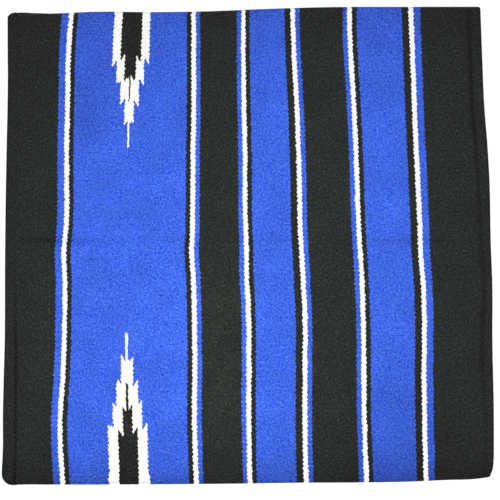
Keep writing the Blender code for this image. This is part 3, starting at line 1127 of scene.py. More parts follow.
@dataclass
class FoldRoll:
    """The cloth that turns over at the folded edge and joins the two layers."""

    upper: WovenLayer
    steps_per_row: int = 6

    def skin(self) -> bpy.types.Object:
        """Build the roll by carrying the layer's cross-section around the fold.

        Returns:
            The roll.
        """
        upper, cloth, outline = self.upper, self.upper.cloth, self.upper.outline
        ring = upper.ring()
        x, counts = upper.x_places(ring, outline.roll_line(0.5))
        counts = upper.edge_counts(ring, counts)
        left, right = x[0], x[len(x) // 2]
        across = (x - left) / (right - left)
        line = outline.roll_line(across)
        reach = outline.fold_reach(across, x - left, right - x)
        groove = upper.groove(ring, 0.0)
        steps = cloth.roll_rows * self.steps_per_row
        places, weave = [], []
        for station in range(steps + 1):
            row = station / self.steps_per_row
            angle = pi / 2 - pi * station / steps
            pulled = ring.height - groove * sin(angle) ** 2
            outward = upper.ribbed(ring, pulled, min(row, cloth.roll_rows - row))
            radius = outward + cloth.layer_gap / 2
            y = line + radius * reach * cos(angle)
            places.append(np.stack([x, y, cloth.fold_height + radius * sin(angle)], axis=1))
            weave.append(upper.weave_row(counts, -row))
        return lay_skins("fold_roll_cloth", [Skin(np.array(places), np.array(weave))])


@dataclass
class NodeGraph:
    """A small writer of shader nodes in one node tree."""

    tree: bpy.types.NodeTree

    def node(self, kind: str, **settings: str | float | bool) -> bpy.types.Node:
        """Add a node.

        Args:
            kind: The node's type.
            settings: Its properties.

        Returns:
            The node.
        """
        made = self.tree.nodes.new(kind)
        for name, value in settings.items():
            setattr(made, name, value)
        return made

    def feed(self, socket: bpy.types.NodeSocket, source: Source) -> None:
        """Link a socket to an output, or set its own value.

        Args:
            socket: The input socket.
            source: The output that it is linked to, or its value.
        """
        if isinstance(source, bpy.types.NodeSocket):
            self.tree.links.new(source, socket)
        else:
            socket.default_value = source

    def fill(self, made: bpy.types.Node, sources: dict[int | str, Source]) -> bpy.types.NodeOutputs:
        """Feed some inputs of a node.

        Args:
            made: The node.
            sources: What feeds its inputs, by their names or places.

        Returns:
            The node's outputs.
        """
        for key, source in sources.items():
            self.feed(made.inputs[key], source)
        return made.outputs

    def math(self, operation: str, *sources: Source) -> bpy.types.NodeSocket:
        """Add a math node and return its result."""
        return self.fill(self.node("ShaderNodeMath", operation=operation), dict(enumerate(sources)))[0]

    def fade(self, share: Source, amount: Source) -> bpy.types.NodeSocket:
        """Return 1 plus a share of an amount."""
        return self.math("MULTIPLY_ADD", share, amount, 1.0)

    def nearness(self, distance: Source, reach: float) -> bpy.types.NodeSocket:
        """Return 1 at no distance, and an exponential fall to about a third at the reach."""
        return self.math("EXPONENT", self.math("DIVIDE", distance, -reach))

    def between(
        self, value: Source, low: Source, high: Source, start: float = 0.0, end: float = 1.0
    ) -> bpy.types.NodeSocket:
        """Map a value smoothly from low..high to start..end.

        Args:
            value: The value.
            low: Where the result starts.
            high: Where the result ends.
            start: The result at low.
            end: The result at high.

        Returns:
            The mapped value.
        """
        made = self.node("ShaderNodeMapRange", interpolation_type="SMOOTHSTEP")
        return self.fill(made, {0: value, 1: low, 2: high, 3: start, 4: end})["Result"]

    def choose(self, factor: Source, first: Source, second: Source) -> bpy.types.NodeSocket:
        """Mix two numbers by a factor and return the result."""
        return self.fill(self.node("ShaderNodeMix", data_type="FLOAT"), {0: factor, 2: first, 3: second})[0]

    def tint(
        self, factor: Source, first: Source, second: Source, blend: str = "MIX"
    ) -> bpy.types.NodeSocket:
        """Mix two colours by a factor and return the result."""
        made = self.node("ShaderNodeMix", data_type="RGBA", blend_type=blend)
        return self.fill(made, {0: factor, 6: first, 7: second})[2]

    def vector(self, *numbers: Source) -> bpy.types.NodeSocket:
        """Combine up to three numbers in one vector."""
        return self.fill(self.node("ShaderNodeCombineXYZ"), dict(enumerate(numbers)))[0]

    def spread(self, u: Source, v: Source, scales: tuple[float, ...]) -> bpy.types.NodeSocket:
        """Combine a place across and along, each at its own scale, and a seed if there is one.

        Args:
            u: The place across.
            v: The place along.
            scales: The two scales, then the seed.

        Returns:
            The vector.
        """
        across = self.math("MULTIPLY", u, scales[0])
        along = self.math("MULTIPLY", v, scales[1])
        return self.vector(across, along, *scales[2:])

    def parts(self, vector: Source) -> list[bpy.types.NodeSocket]:
        """Separate a vector into its three numbers.

        Args:
            vector: The vector.

        Returns:
            The numbers.
        """
        made = self.node("ShaderNodeSeparateXYZ")
        self.feed(made.inputs[0], vector)
        return list(made.outputs)

    def clouds(
        self, vector: Source, scale: float, detail: float, roughness: float = 0.5
    ) -> bpy.types.NodeSocket:
        """Add a noise of one scale.

        Args:
            vector: Where it is read.
            scale: Its scale.
            detail: How many finer octaves it has.
            roughness: How strong these are.

        Returns:
            Its value.
        """
        made = self.node("ShaderNodeTexNoise")
        sources = {"Vector": vector, "Scale": scale, "Detail": detail, "Roughness": roughness}
        return self.fill(made, sources)[0]

    def ramp(self, value: Source, stops: Sequence[tuple[float, Colour]], kind: str) -> bpy.types.NodeSocket:
        """Add a colour ramp.

        Args:
            value: Its input.
            stops: Places and colours, in order.
            kind: The interpolation between the stops.

        Returns:
            The colour.
        """
        made = self.node("ShaderNodeValToRGB")
        band = made.color_ramp
        band.interpolation = kind
        while len(band.elements) < len(stops):
            band.elements.new(1.0)
        for element, (place, colour) in zip(band.elements, stops):
            element.position = place
            element.color = colour
        return self.fill(made, {0: value})[0]

    def group(self, tree: bpy.types.NodeTree, **sources: Source) -> bpy.types.Node:
        """Place a node group and feed its named inputs.

        Args:
            tree: The group.
            sources: What feeds its inputs.

        Returns:
            The node.
        """
        made = self.node("ShaderNodeGroup")
        made.node_tree = tree
        for name, source in sources.items():
            self.feed(made.inputs[name], source)
        return made

    def bump(self, height: Source) -> bpy.types.NodeSocket:
        """Return the normal of a relief whose heights are in metres."""
        made = self.node("ShaderNodeBump")
        return self.fill(made, {"Strength": 1.0, "Distance": 1.0, "Height": height})["Normal"]


def new_group(name: str, inputs: dict[str, str], outputs: dict[str, str]) -> NodeGraph:
    """Start a node group with named sockets.

    Args:
        name: Its name.
        inputs: Kinds of its inputs, by name.
        outputs: Kinds of its outputs, by name.

    Returns:
        Its graph, with the group's input and output nodes in it.
    """
    tree = bpy.data.node_groups.new(name, "ShaderNodeTree")
    for direction, sockets in (("INPUT", inputs), ("OUTPUT", outputs)):
        for socket, kind in sockets.items():
            tree.interface.new_socket(socket, in_out=direction, socket_type=f"NodeSocket{kind}")
    graph = NodeGraph(tree)
    graph.node("NodeGroupInput", name="in")
    graph.node("NodeGroupOutput", name="out")
    return graph


def shared_group(name: str, make: Callable[[], bpy.types.NodeTree]) -> bpy.types.NodeTree:
    """Return a node group, made the first time that it is asked for."""
    return bpy.data.node_groups.get(name) or make()


def new_material(name: str) -> tuple[bpy.types.Material, NodeGraph, bpy.types.NodeInputs]:
    """Start a material.

    Args:
        name: Its name.

    Returns:
        The material, its graph and the inputs of its shader.
    """
    material = bpy.data.materials.new(name)
    material.use_nodes = True
    tree = material.node_tree
    return material, NodeGraph(tree), tree.nodes["Principled BSDF"].inputs


@dataclass(frozen=True)
class Dye:
    """One yarn's dye, in linear colour, from its deepest to its palest fibres."""

    deep: Colour
    pale: Colour


@dataclass(frozen=True)
class Patch:
    """A broad patch of painted light, or of painted shade where its change is below 0: its middle, its
    reach in stitches and rows, and its change.
    """

    across: float
    along: float
    reach_across: float
    reach_along: float
    change: float


@dataclass(frozen=True)
class WeaveFinish:
    """The yarns' dyes, how unevenly they took, the painted light and shade on them, and the relief of the
    stitches in metres.

    A spread gives the scales of a pattern across and along the weave map, and then its seed.
    """

    black: Dye = Dye((0.0115, 0.0139, 0.0118, 1.0), (0.0497, 0.0570, 0.0492, 1.0))
    blue: Dye = Dye((0.0050, 0.0490, 0.7500, 1.0), (0.1040, 0.2430, 0.9600, 1.0))
    white: Dye = Dye((0.9350, 0.9400, 0.9100, 1.0), (0.9900, 0.9950, 0.9700, 1.0))
    blue_lint: Colour = (0.1300, 0.4600, 0.9800, 1.0)
    tone_low: float = 0.6
    tone_gain: float = 0.8
    stitch_unevenness: float = 0.15
    phase_step: float = 7.0
    fibre_unevenness: float = 2.40
    fibre_spread: tuple[float, ...] = (1.25, 1.20, 3.0)
    streak_unevenness: float = 0.20
    streak_spread: tuple[float, ...] = (3.71, 0.16)
    black_contrast: float = 2.0
    lint: float = 0.60
    lint_start: float = 0.68
    lint_full: float = 0.80
    lint_spread: tuple[float, ...] = (1.5, 1.4, 9.0)
    blotch_unevenness: float = 0.26
    blotch_scale: float = 0.07
    blotch_detail: float = 3.0
    # painted shade in the valleys between stitches, and painted shade of the mesh's mask in the seams,
    # crease and round sides
    valley_shade: float = 0.62
    white_valley_shade: float = 0.95
    valley_bottom: float = 0.55
    valley_top: float = 0.88
    seam_shade: float = 0.86
    white_seam_ease: float = 0.7
    white_level_ease: float = 0.95
    # painted shade near the fold, the open edge, across to the sides and at the sides' edges, and painted
    # patches of light and shade
    fold_shade: float = 0.30
    fold_shade_rows: float = 30.0
    open_shade: float = 0.42
    open_shade_rows: float = 9.5
    side_shade: float = 0.08
    side_shade_middle: float = 95.0
    side_shade_reach: float = 100.0
    edge_shade: float = 0.14
    edge_shade_stitches: float = 7.0
    patches: tuple[Patch, ...] = (
        Patch(32.0, 42.0, 17.0, 24.0, -0.12),
        Patch(170.0, 205.0, 24.0, 42.0, -0.20),
        Patch(72.0, 150.0, 26.0, 45.0, 0.07),
        Patch(93.0, 165.0, 12.0, 55.0, 0.14),
        Patch(17.0, 150.0, 8.0, 55.0, 0.12),
    )
    stitch_half_width: float = 0.55
    stitch_half_length: float = 1.20
    stitch_fullness: float = 0.6
    fuzz: float = 0.65
    fuzz_scale: float = 2.2
    crowding: float = 0.90
    crowding_scale: float = 0.45
    stitch_relief: float = 0.00045
    fibre_relief: float = 0.00008
    ply_twist: tuple[float, float] = (16.0, 9.0)
    ply_share: float = 0.35
    hair_share: float = 3.0
    hair_spread: tuple[float, ...] = (11.0, 5.0)
    hair_detail: float = 3.0
    hair_roughness: float = 0.6
    roughness: float = 0.92
    specular: float = 0.12
    sheen: float = 0.06
    sheen_roughness: float = 0.5


@dataclass
class WeaveMaterials:
    """The materials of the woven cloth and the node groups that they share.

    A ramp holds ramp_samples stitches, or a spire's reach in hundreds of rows over ramp_picks.
    """

    finish: WeaveFinish = field(default_factory=WeaveFinish)
    stripes: StripePlan = field(default_factory=StripePlan)
    cloth: Cloth = field(default_factory=Cloth)
    ramp_samples: float = 256.0
    ramp_picks: float = 25.5
    ramp_rows: float = 100.0
    step_edge: float = 0.06
    sample_lead: float = 0.25
    edge_rows: float = 0.4

    def stitch_cells(self) -> bpy.types.NodeTree:
        """Build the group that finds the stitch at a point of the weave map.

        Stitches lie in two sets, half a stitch and one row apart, and the one that stands higher
        shows.

        Returns:
            A group that gives the stitch's column, row and phase, and the place inside it.
        """
        names = ("Column", "Row", "Aside", "Along", "Phase", "Rise")
        graph = new_group("stitch_cells", {"Weave": "Vector"}, dict.fromkeys(names, "Float"))
        u, v, _ = graph.parts(graph.tree.nodes["in"].outputs["Weave"])
        found = []
        for phase in (0.0, 1.0):
            shifted = graph.math("SUBTRACT", u, phase / 2)
            column = graph.math("FLOOR", shifted)
            aside = graph.math("SUBTRACT", graph.math("SUBTRACT", shifted, column), 0.5)
            pair = graph.math("FLOOR", graph.math("MULTIPLY", graph.math("ADD", v, 0.5 - phase), 0.5))
            row = graph.math("MULTIPLY_ADD", pair, 2.0, phase)
            along = graph.math("SUBTRACT", graph.math("SUBTRACT", v, row), 0.5)
            wide = graph.math("DIVIDE", aside, self.finish.stitch_half_width)
            long = graph.math("DIVIDE", along, self.finish.stitch_half_length)
            spread = graph.math("MULTIPLY_ADD", wide, wide, graph.math("MULTIPLY", long, long))
            found.append((column, row, aside, along, graph.math("SUBTRACT", 1.0, spread)))
        even, odd = found
        is_odd = graph.math("GREATER_THAN", odd[-1], even[-1])
        output = graph.tree.nodes["out"].inputs
        for name, first, second in zip(names, even[:-1], odd[:-1]):
            graph.feed(output[name], graph.choose(is_odd, first, second))
        graph.feed(output["Phase"], is_odd)
        best = graph.math("MAXIMUM", graph.math("MAXIMUM", even[-1], odd[-1]), 0.0)
        graph.feed(output["Rise"], graph.math("POWER", best, self.finish.stitch_fullness))
        return graph.tree

    def reach_ramp(
        self, graph: NodeGraph, from_axis: Source, steps: Sequence[Step]
    ) -> bpy.types.NodeSocket:
        """Return how many rows a stepped spire reaches at a distance from its axis.

        Args:
            graph: The graph that the ramp is placed in.
            from_axis: Distance from the axis in picks.
            steps: The spire's steps.

        Returns:
            The reach in rows.
        """
        reaches = []
        for step in steps:
            reaches.append((step.inner + self.step_edge, step.inner_reach / self.ramp_rows))
            reaches.append((step.outer, step.outer_reach / self.ramp_rows))
        reaches.append((steps[-1].outer + self.step_edge, 0.0))
        stops = [(place / self.ramp_picks, (reach, reach, reach, 1.0)) for place, reach in reaches]
        value = graph.ramp(graph.math("DIVIDE", from_axis, self.ramp_picks), stops, "LINEAR")
        return graph.math("MULTIPLY", value, self.ramp_rows)

    def stripe_masks(self) -> bpy.types.NodeTree:
        """Build the group that says which yarn a stitch is of.

        The ramp is read at even samples, so each stop stands a little before its stripe's first one.

        Returns:
            A group that gives the mask colour of the stitch's stripe.
        """
        inputs = {"Weave": "Vector", "Column": "Float", "Row": "Float", "Phase": "Float"}
        graph = new_group("stripe_masks", inputs, {"Mask": "Color"})
        given = graph.tree.nodes["in"].outputs
        stops = []
        for stripe, start in zip(self.stripes.stripes(), self.stripes.starts()):
            stops.append((max(0.0, (start - self.sample_lead) / self.ramp_samples), stripe.mask))
        looked_up = graph.math("DIVIDE", graph.math("ADD", given["Column"], 0.5), self.ramp_samples)
        mask = graph.ramp(looked_up, stops, "CONSTANT")
        axis = 2 * self.stripes.motif_axis
        pick = graph.math("ADD", graph.math("MULTIPLY_ADD", given["Column"], 2.0, 1.0), given["Phase"])
        from_axis = graph.math("ABSOLUTE", graph.math("SUBTRACT", pick, axis))
        across = graph.parts(given["Weave"])[0]
        aside = graph.math("ABSOLUTE", graph.math("MULTIPLY_ADD", across, 2.0, -axis))
        half_roll = self.cloth.roll_rows / 2
        centre = graph.math("ABSOLUTE", graph.math("ADD", given["Row"], 0.5 + half_roll))
        from_fold = graph.math("MAXIMUM", graph.math("SUBTRACT", centre, half_roll), 0.0)
        from_open = graph.math("SUBTRACT", self.cloth.rows_to_selvage - self.edge_rows, from_fold)
        from_open = graph.math("MAXIMUM", from_open, 0.0)
        white = Band(Yarn.WHITE, 1).mask
        black = Band(Yarn.BLACK, 1, self.stripes.spire_black).mask
        for spire, from_end in ((self.stripes.fold_spire, from_fold), (self.stripes.open_spire, from_open)):
            for colour, steps, (half_width, reach) in (
                (white, spire.white_steps, spire.white_line),
                (black, spire.black_steps, spire.black_line),
            ):
                stepped = graph.math("LESS_THAN", from_end, self.reach_ramp(graph, from_axis, steps))
                on_line = graph.math("LESS_THAN", aside, half_width)
                on_line = graph.math("MULTIPLY", on_line, graph.math("LESS_THAN", from_end, reach))
                mask = graph.tint(graph.math("MAXIMUM", stepped, on_line), mask, colour)
        graph.feed(graph.tree.nodes["out"].inputs["Mask"], mask)
        return graph.tree

    def fuzzy_weave(self) -> bpy.types.NodeTree:
        """Build the group that strays the weave map a little, as crowded yarns and loose fibres do.

        Returns:
            A group that gives the strayed map.
        """
        finish = self.finish
        graph = new_group("fuzzy_weave", {"Weave": "Vector"}, {"Weave": "Vector"})
        weave = graph.tree.nodes["in"].outputs["Weave"]
        strayed = weave
        for scale, amount in ((finish.fuzz_scale, finish.fuzz), (finish.crowding_scale, finish.crowding)):
            made = graph.node("ShaderNodeTexNoise")
            clouds = graph.fill(made, {"Vector": weave, "Scale": scale, "Detail": 1.0})["Color"]
            middle = graph.node("ShaderNodeVectorMath", operation="SUBTRACT")
            off = graph.fill(middle, {0: clouds, 1: (0.5, 0.5, 0.5)})[0]
            added = graph.node("ShaderNodeVectorMath", operation="MULTIPLY_ADD")
            strayed = graph.fill(added, {0: off, 1: (amount, amount, 0.0), 2: strayed})[0]
        graph.feed(graph.tree.nodes["out"].inputs["Weave"], strayed)
        return graph.tree

    def dyed_and_shaded_yarns(self) -> bpy.types.NodeTree:
        """Build the group that dyes each stitch with its yarn's uneven colour, and paints light and shade
        on it.

        Returns:
            A group that gives the cloth's colour.
        """
        finish = self.finish
        floats = dict.fromkeys(("Column", "Row", "Phase", "Rise", "Hollow"), "Float")
        inputs = {"Mask": "Color", "Weave": "Vector", **floats}
        graph = new_group("dyed_and_shaded_yarns", inputs, {"Color": "Color"})
        given = graph.tree.nodes["in"].outputs
        u, v, _ = graph.parts(given["Weave"])
        chance = graph.node("ShaderNodeTexWhiteNoise", noise_dimensions="3D")
        phase = graph.math("MULTIPLY", given["Phase"], finish.phase_step)
        cell = graph.vector(given["Column"], given["Row"], phase)
        by_stitch = graph.fill(chance, {"Vector": cell})["Value"]
        pick = graph.math("MULTIPLY_ADD", given["Column"], 2.0, given["Phase"])
        streaks = graph.clouds(graph.spread(pick, given["Row"], finish.streak_spread), 1.0, 1.0)
        fibres = graph.clouds(graph.spread(u, v, finish.fibre_spread), 1.0, 1.0, 1.0)
        paleness = 0.5
        for source, amount in (
            (by_stitch, finish.stitch_unevenness),
            (fibres, finish.fibre_unevenness),
            (streaks, finish.streak_unevenness),
        ):
            paleness = graph.math("MULTIPLY_ADD", graph.math("SUBTRACT", source, 0.5), amount, paleness)
        loose = graph.clouds(graph.spread(u, v, finish.lint_spread), 1.0, 0.0)
        lint = graph.between(loose, finish.lint_start, finish.lint_full, 0.0, finish.lint)
        tone, is_blue, is_white = graph.parts(given["Mask"])
        hairs = graph.math("MAXIMUM", graph.math("ADD", paleness, lint), 0.0)
        hairs = graph.math("POWER", hairs, finish.black_contrast)
        black = graph.tint(hairs, finish.black.deep, finish.black.pale)
        blue = graph.tint(paleness, finish.blue.deep, finish.blue.pale)
        blue = graph.tint(lint, blue, finish.blue_lint)
        white = graph.tint(paleness, finish.white.deep, finish.white.pale)
        dyed = graph.tint(is_white, graph.tint(is_blue, black, blue), white)
        lot = graph.math("MULTIPLY_ADD", tone, finish.tone_gain, finish.tone_low)
        # painted shade between the stitches and of the mesh's mask, times the painted light and shade over
        # the cloth and its random blotchy tone
        level = graph.math("MULTIPLY", self.stitch_level(graph), self.broad_level(graph, u, v))
        level = graph.math("MULTIPLY", level, lot)
        colour = graph.tint(1.0, dyed, graph.vector(level, level, level), "MULTIPLY")
        graph.feed(graph.tree.nodes["out"].inputs["Color"], colour)
        return graph.tree

    def stitch_level(self, graph: NodeGraph) -> bpy.types.NodeSocket:
        """Return the painted shade between the stitches, and the painted shade of the mesh's mask.

        Args:
            graph: The graph of the dyed and shaded yarns.

        Returns:
            The level, of which 1 is open cloth.
        """
        given = graph.tree.nodes["in"].outputs
        finish = self.finish
        is_white = graph.parts(given["Mask"])[2]
        # painted shade in the valleys between the stitches, weaker on white
        shade = graph.choose(is_white, finish.valley_shade, finish.white_valley_shade)
        valley = graph.between(given["Rise"], finish.valley_bottom, finish.valley_top)
        # painted shade of the mesh's mask in the seams, crease and round sides, mostly eased on white
        eased = -finish.white_seam_ease * finish.seam_shade
        sunk = graph.math("MULTIPLY_ADD", is_white, eased, finish.seam_shade)
        seam = graph.math("SUBTRACT", 1.0, graph.math("MULTIPLY", given["Hollow"], sunk))
        return graph.math("MULTIPLY", graph.choose(valley, shade, 1.0), seam)

    def broad_level(self, graph: NodeGraph, u: Source, v: Source) -> bpy.types.NodeSocket:
        """Return the painted light and shade on the coloured yarns over the whole cloth, and their random
        blotchy tone.

        Args:
            graph: The graph of the dyed and shaded yarns.
            u: Stitches across.
            v: Rows along, below nothing in the lower layer.

        Returns:
            The level, which stays near 1 in the white yarn.
        """
        finish = self.finish
        half_roll = self.cloth.roll_rows / 2
        half_width = self.stripes.starts()[-1] / 2
        from_fold = graph.math("ABSOLUTE", graph.math("ADD", v, half_roll))
        to_open = graph.math("SUBTRACT", self.cloth.rows_to_selvage + half_roll, from_fold)
        from_open = graph.math("MAXIMUM", to_open, 0.0)
        from_middle = graph.math("ABSOLUTE", graph.math("SUBTRACT", u, half_width))
        beside = graph.math("SUBTRACT", half_width, from_middle)
        side_scale = 1 / finish.side_shade_reach
        aside = graph.math("MULTIPLY_ADD", u, side_scale, -side_scale * finish.side_shade_middle)
        # painted shade: darker near the fold, near the open edge, towards the sides and at the sides' edges
        changes = [
            (graph.nearness(from_fold, finish.fold_shade_rows), -finish.fold_shade),
            (graph.nearness(from_open, finish.open_shade_rows), -finish.open_shade),
            (graph.math("MULTIPLY", aside, aside), -finish.side_shade),
            (graph.nearness(beside, finish.edge_shade_stitches), -finish.edge_shade),
        ]
        # painted patches of light and shade
        for patch in finish.patches:
            across = graph.math("DIVIDE", graph.math("SUBTRACT", u, patch.across), patch.reach_across)
            along = graph.math("SUBTRACT", from_fold, patch.along)
            along = graph.math("DIVIDE", along, patch.reach_along)
            spread = graph.math("MULTIPLY_ADD", across, across, graph.math("MULTIPLY", along, along))
            changes.append((graph.math("EXPONENT", graph.math("MULTIPLY", spread, -1.0)), patch.change))
        # a random blotchy tone of the yarns
        blotch = graph.clouds(graph.vector(u, v), finish.blotch_scale, finish.blotch_detail)
        changes.append((graph.math("SUBTRACT", blotch, 0.5), 2 * finish.blotch_unevenness))
        level = 1.0
        for share, amount in changes:
            level = graph.math("MULTIPLY", level, graph.fade(share, amount))
        # the white yarn keeps almost none of the painted light and shade
        is_white = graph.parts(graph.tree.nodes["in"].outputs["Mask"])[2]
        return graph.choose(graph.math("MULTIPLY", is_white, finish.white_level_ease), level, 1.0)

    def yarn_relief(self) -> bpy.types.NodeTree:
        """Build the group that raises each stitch and the fibres on it.

        Returns:
            A group that gives a height in metres.
        """
        finish = self.finish
        floats = dict.fromkeys(("Rise", "Aside", "Along"), "Float")
        graph = new_group("yarn_relief", {"Weave": "Vector", **floats}, {"Height": "Float"})
        given = graph.tree.nodes["in"].outputs
        u, v, _ = graph.parts(given["Weave"])
        along = graph.math("MULTIPLY", given["Along"], finish.ply_twist[1])
        ply = graph.math("SINE", graph.math("MULTIPLY_ADD", given["Aside"], finish.ply_twist[0], along))
        place = graph.spread(u, v, finish.hair_spread)
        hairs = graph.clouds(place, 1.0, finish.hair_detail, finish.hair_roughness)
        hairs = graph.math("MULTIPLY", graph.math("SUBTRACT", hairs, 0.5), finish.hair_share)
        fine = graph.math("MULTIPLY_ADD", ply, finish.ply_share, hairs)
        fine = graph.math("MULTIPLY", fine, finish.fibre_relief)
        height = graph.math("MULTIPLY_ADD", given["Rise"], finish.stitch_relief, fine)
        graph.feed(graph.tree.nodes["out"].inputs["Height"], height)
        return graph.tree

    def build(self, name: str, masks: bpy.types.NodeTree | None) -> bpy.types.Material:
        """Build a woven material.

        Args:
            name: Its name.
            masks: The pattern of its yarns, or None for plain black.

        Returns:
            The material.
        """
        material, graph, shader = new_material(name)
        flat = graph.node("ShaderNodeUVMap", uv_map="weave").outputs["UV"]
        weave = graph.group(shared_group("fuzzy_weave", self.fuzzy_weave), Weave=flat).outputs["Weave"]
        cells = graph.group(shared_group("stitch_cells", self.stitch_cells), Weave=weave).outputs
        where = {key: cells[key] for key in ("Column", "Row", "Phase")}
        inside = {key: cells[key] for key in ("Rise", "Aside", "Along")}
        mask = Band(Yarn.BLACK, 1).mask
        if masks:
            mask = graph.group(masks, Weave=weave, **where).outputs["Mask"]
        # the mesh's mask of painted shade in the seams, crease and round sides
        painted_shade = graph.node("ShaderNodeAttribute", attribute_name="painted_shade").outputs["Fac"]
        dyes_and_shade = shared_group("dyed_and_shaded_yarns", self.dyed_and_shaded_yarns)
        # the yarns' dyed colour with its painted light and shade
        dyed = graph.group(dyes_and_shade, Mask=mask, Weave=weave, Rise=cells["Rise"], Hollow=painted_shade, **where)
        relief = graph.group(shared_group("yarn_relief", self.yarn_relief), Weave=weave, **inside)
        graph.feed(shader["Base Color"], dyed.outputs["Color"])
        graph.feed(shader["Normal"], graph.bump(relief.outputs["Height"]))
        shader["Roughness"].default_value = self.finish.roughness
        shader["Specular IOR Level"].default_value = self.finish.specular
        shader["Sheen Weight"].default_value = self.finish.sheen
        shader["Sheen Roughness"].default_value = self.finish.sheen_roughness
        return material

    def striped(self) -> bpy.types.Material:
        """Return the striped cloth."""
        return self.build("striped_weft", shared_group("stripe_masks", self.stripe_masks))

    def plain(self) -> bpy.types.Material:
        """Return the plain black cloth of the turned-under sides."""
        return self.build("black_weft", None)


@dataclass(frozen=True)
class ThreadFinish:
    """The sewing thread's dye and twist."""

    dye: Colour = (0.006, 0.0065, 0.006, 1.0)
    lighter: Colour = (0.015, 0.016, 0.015, 1.0)
    twist_scale: float = 420.0
    twist_distortion: float = 1.5
    relief: float = 0.00008
    roughness: float = 0.75

    def material(self) -> bpy.types.Material:
        """Build the twisted thread.

        Returns:
            The material.
        """
        material, graph, shader = new_material("sewing_thread")
        place = graph.node("ShaderNodeTexCoord").outputs["Object"]
        made = graph.node("ShaderNodeTexWave", wave_type="BANDS", bands_direction="DIAGONAL")
        sources = {"Vector": place, "Scale": self.twist_scale, "Distortion": self.twist_distortion}
        twist = graph.fill(made, sources)["Fac"]
        graph.feed(shader["Base Color"], graph.tint(twist, self.dye, self.lighter))
        graph.feed(shader["Normal"], graph.bump(graph.math("MULTIPLY", twist, self.relief)))
        shader["Roughness"].default_value = self.roughness
        return material


@dataclass(frozen=True)
class Studio:
    """The pale floor, the soft light and the camera straight above."""

    floor_size: float = 12.0
    floor_colour: Colour = (0.85, 0.85, 0.85, 1.0)
    floor_own_light: float = 0.45
    white: Colour = (1.0, 1.0, 1.0, 1.0)
    world_level: float = 0.63
    lamp_power: float = 16.5
    lamp_size: float = 1.6
    lamp_place: tuple[float, float, float] = (0.0, -0.22, 1.7)
    lamp_aim: tuple[float, float, float] = (0.0, -0.132, 0.0)
    view_width: float = 0.84
    view_middle: tuple[float, float] = (0.0039, -0.0070)
    top_height: float = 0.0093
    lens: float = 85.0
    sensor: float = 36.0
    nearest: float = 0.05

    def white_for_camera(self, graph: NodeGraph) -> bpy.types.NodeSocket:
        """Tell the rays that show the backdrop itself from those that light.

        Args:
            graph: The graph of the floor or of the sky.

        Returns:
            1 for the rays that show it, and 0 for the others.
        """
        rays = graph.node("ShaderNodeLightPath").outputs
        seen = graph.math("MAXIMUM", rays["Is Camera Ray"], rays["Is Glossy Ray"])
        return graph.math("MAXIMUM", seen, rays["Is Transmission Ray"])

    def lay_floor(self) -> None:
        """Lay the floor, which keeps the blanket's shadow."""
        ground = bmesh.new()
        bmesh.ops.create_grid(ground, x_segments=4, y_segments=4, size=self.floor_size / 2)
        floor_piece = add_piece("floor", ground)
        material, graph, shader = new_material("pale_floor")
        shader["Base Color"].default_value = self.floor_colour
        shader["Roughness"].default_value = 1.0
        shader["Specular IOR Level"].default_value = 0.0
        shader["Emission Color"].default_value = self.white
        own_light = graph.math("MULTIPLY", self.white_for_camera(graph), self.floor_own_light)
        graph.feed(shader["Emission Strength"], own_light)
        floor_piece.data.materials.append(material)

    def light(self) -> None:
        """Light the scene with an even sky and one large soft lamp."""
        world = bpy.data.worlds.new("studio")
        bpy.context.scene.world = world
        world.use_nodes = True
        graph = NodeGraph(world.node_tree)
        sky = world.node_tree.nodes["Background"].inputs
        sky["Color"].default_value = self.white
        graph.feed(sky["Strength"], graph.choose(self.white_for_camera(graph), self.world_level, 1.0))
        lamp = bpy.data.lights.new("soft_lamp", "AREA")
        lamp.shape = "SQUARE"
        lamp.size = self.lamp_size
        lamp.energy = self.lamp_power
        holder = bpy.data.objects.new("soft_lamp", lamp)
        holder.location = self.lamp_place
        aim = Vector(self.lamp_aim) - Vector(self.lamp_place)
        holder.rotation_euler = aim.to_track_quat("-Z", "Y").to_euler()
        bpy.context.scene.collection.objects.link(holder)

    def place_camera(self) -> None:
        """Place the camera straight above the blanket."""
        lens = bpy.data.cameras.new("above")
        lens.lens = self.lens
        lens.sensor_width = self.sensor
        lens.clip_start = self.nearest
        holder = bpy.data.objects.new("above", lens)
        distance = self.view_width * self.lens / self.sensor
        holder.location = (*self.view_middle, self.top_height + distance)
        bpy.context.scene.collection.objects.link(holder)
        bpy.context.scene.camera = holder

    def build(self) -> None:
        """Set the whole stage and the plain view."""
        self.lay_floor()
        self.light()
        self.place_camera()
        bpy.context.scene.view_settings.view_transform = "Standard"


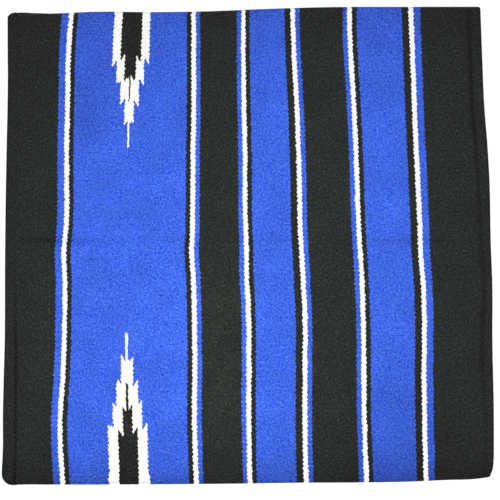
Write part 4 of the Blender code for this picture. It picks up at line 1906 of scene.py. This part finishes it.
@dataclass
class SaddleBlanket:
    """The whole blanket on its frame."""

    materials: WeaveMaterials = field(default_factory=WeaveMaterials)
    thread_finish: ThreadFinish = field(default_factory=ThreadFinish)
    crease_blend: float = 0.014

    def finish_piece(self, piece: bpy.types.Object, material: bpy.types.Material) -> None:
        """Give a piece its material, and report it.

        Args:
            piece: The piece.
            material: Its material.
        """
        piece.data.materials.append(material)
        log.info("%s: %d faces", piece.name, len(piece.data.polygons))

    def bend_at_crease(self, piece: bpy.types.Object) -> None:
        """Bake a piece's transform into its mesh.

        Args:
            piece: The piece.
        """
        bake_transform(piece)

    def build_layer(
        self,
        woven: WovenLayer,
        striped: bpy.types.Material,
        plain: bpy.types.Material,
        thread: bpy.types.Material,
    ) -> tuple[bpy.types.Object, list[bpy.types.Object]]:
        """Build one layer and everything on it.

        Args:
            woven: The layer.
            striped: Material of the striped cloth.
            plain: Material of the hems.
            thread: Material of the sewing.

        Returns:
            The cloth, and the separate pieces on it.
        """
        name = woven.layer.value
        halves = ("fold_half", "open_half")
        cloth = woven.skin()
        self.finish_piece(cloth, striped)
        self.bend_at_crease(cloth)
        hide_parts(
            *(f"{kind}_{name}_{half}" for kind in ("woven_panel", "warp_cords") for half in halves)
        )
        others = []
        for side in Side:
            flap = woven.hem_skin(side)
            self.finish_piece(flap, plain)
            self.bend_at_crease(flap)
            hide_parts(*(f"{side.value}_hem_{name}_{half}" for half in halves))
            sewing = woven.hem_thread(side)
            self.finish_piece(sewing, thread)
            self.bend_at_crease(sewing)
            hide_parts(*(f"{side.value}_hem_thread_{name}_{half}" for half in halves))
            others += [flap, sewing]
        edge = woven.selvage()
        self.finish_piece(edge, striped)
        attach(edge, f"{name}_open_half")
        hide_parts(f"selvage_{name}")
        return cloth, others + [edge]

    def build(self) -> None:
        """Build both layers and the roll."""
        striped = self.materials.striped()
        plain = self.materials.plain()
        thread = self.thread_finish.material()
        lower = WovenLayer(Layer.LOWER)
        upper = WovenLayer(Layer.UPPER)
        lower_cloth, lower_pieces = self.build_layer(lower, striped, plain, thread)
        upper_cloth, upper_pieces = self.build_layer(upper, striped, plain, thread)
        roll = FoldRoll(upper).skin()
        self.finish_piece(roll, striped)
        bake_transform(roll)
        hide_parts("fold_roll")


def main() -> None:
    """Build the blanket and its stage."""
    logging.basicConfig(level=logging.INFO, format="%(name)s: %(message)s")
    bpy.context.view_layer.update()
    SaddleBlanket().build()
    Studio().build()
    log.info("boxes written")


if __name__ == "__main__":
    main()
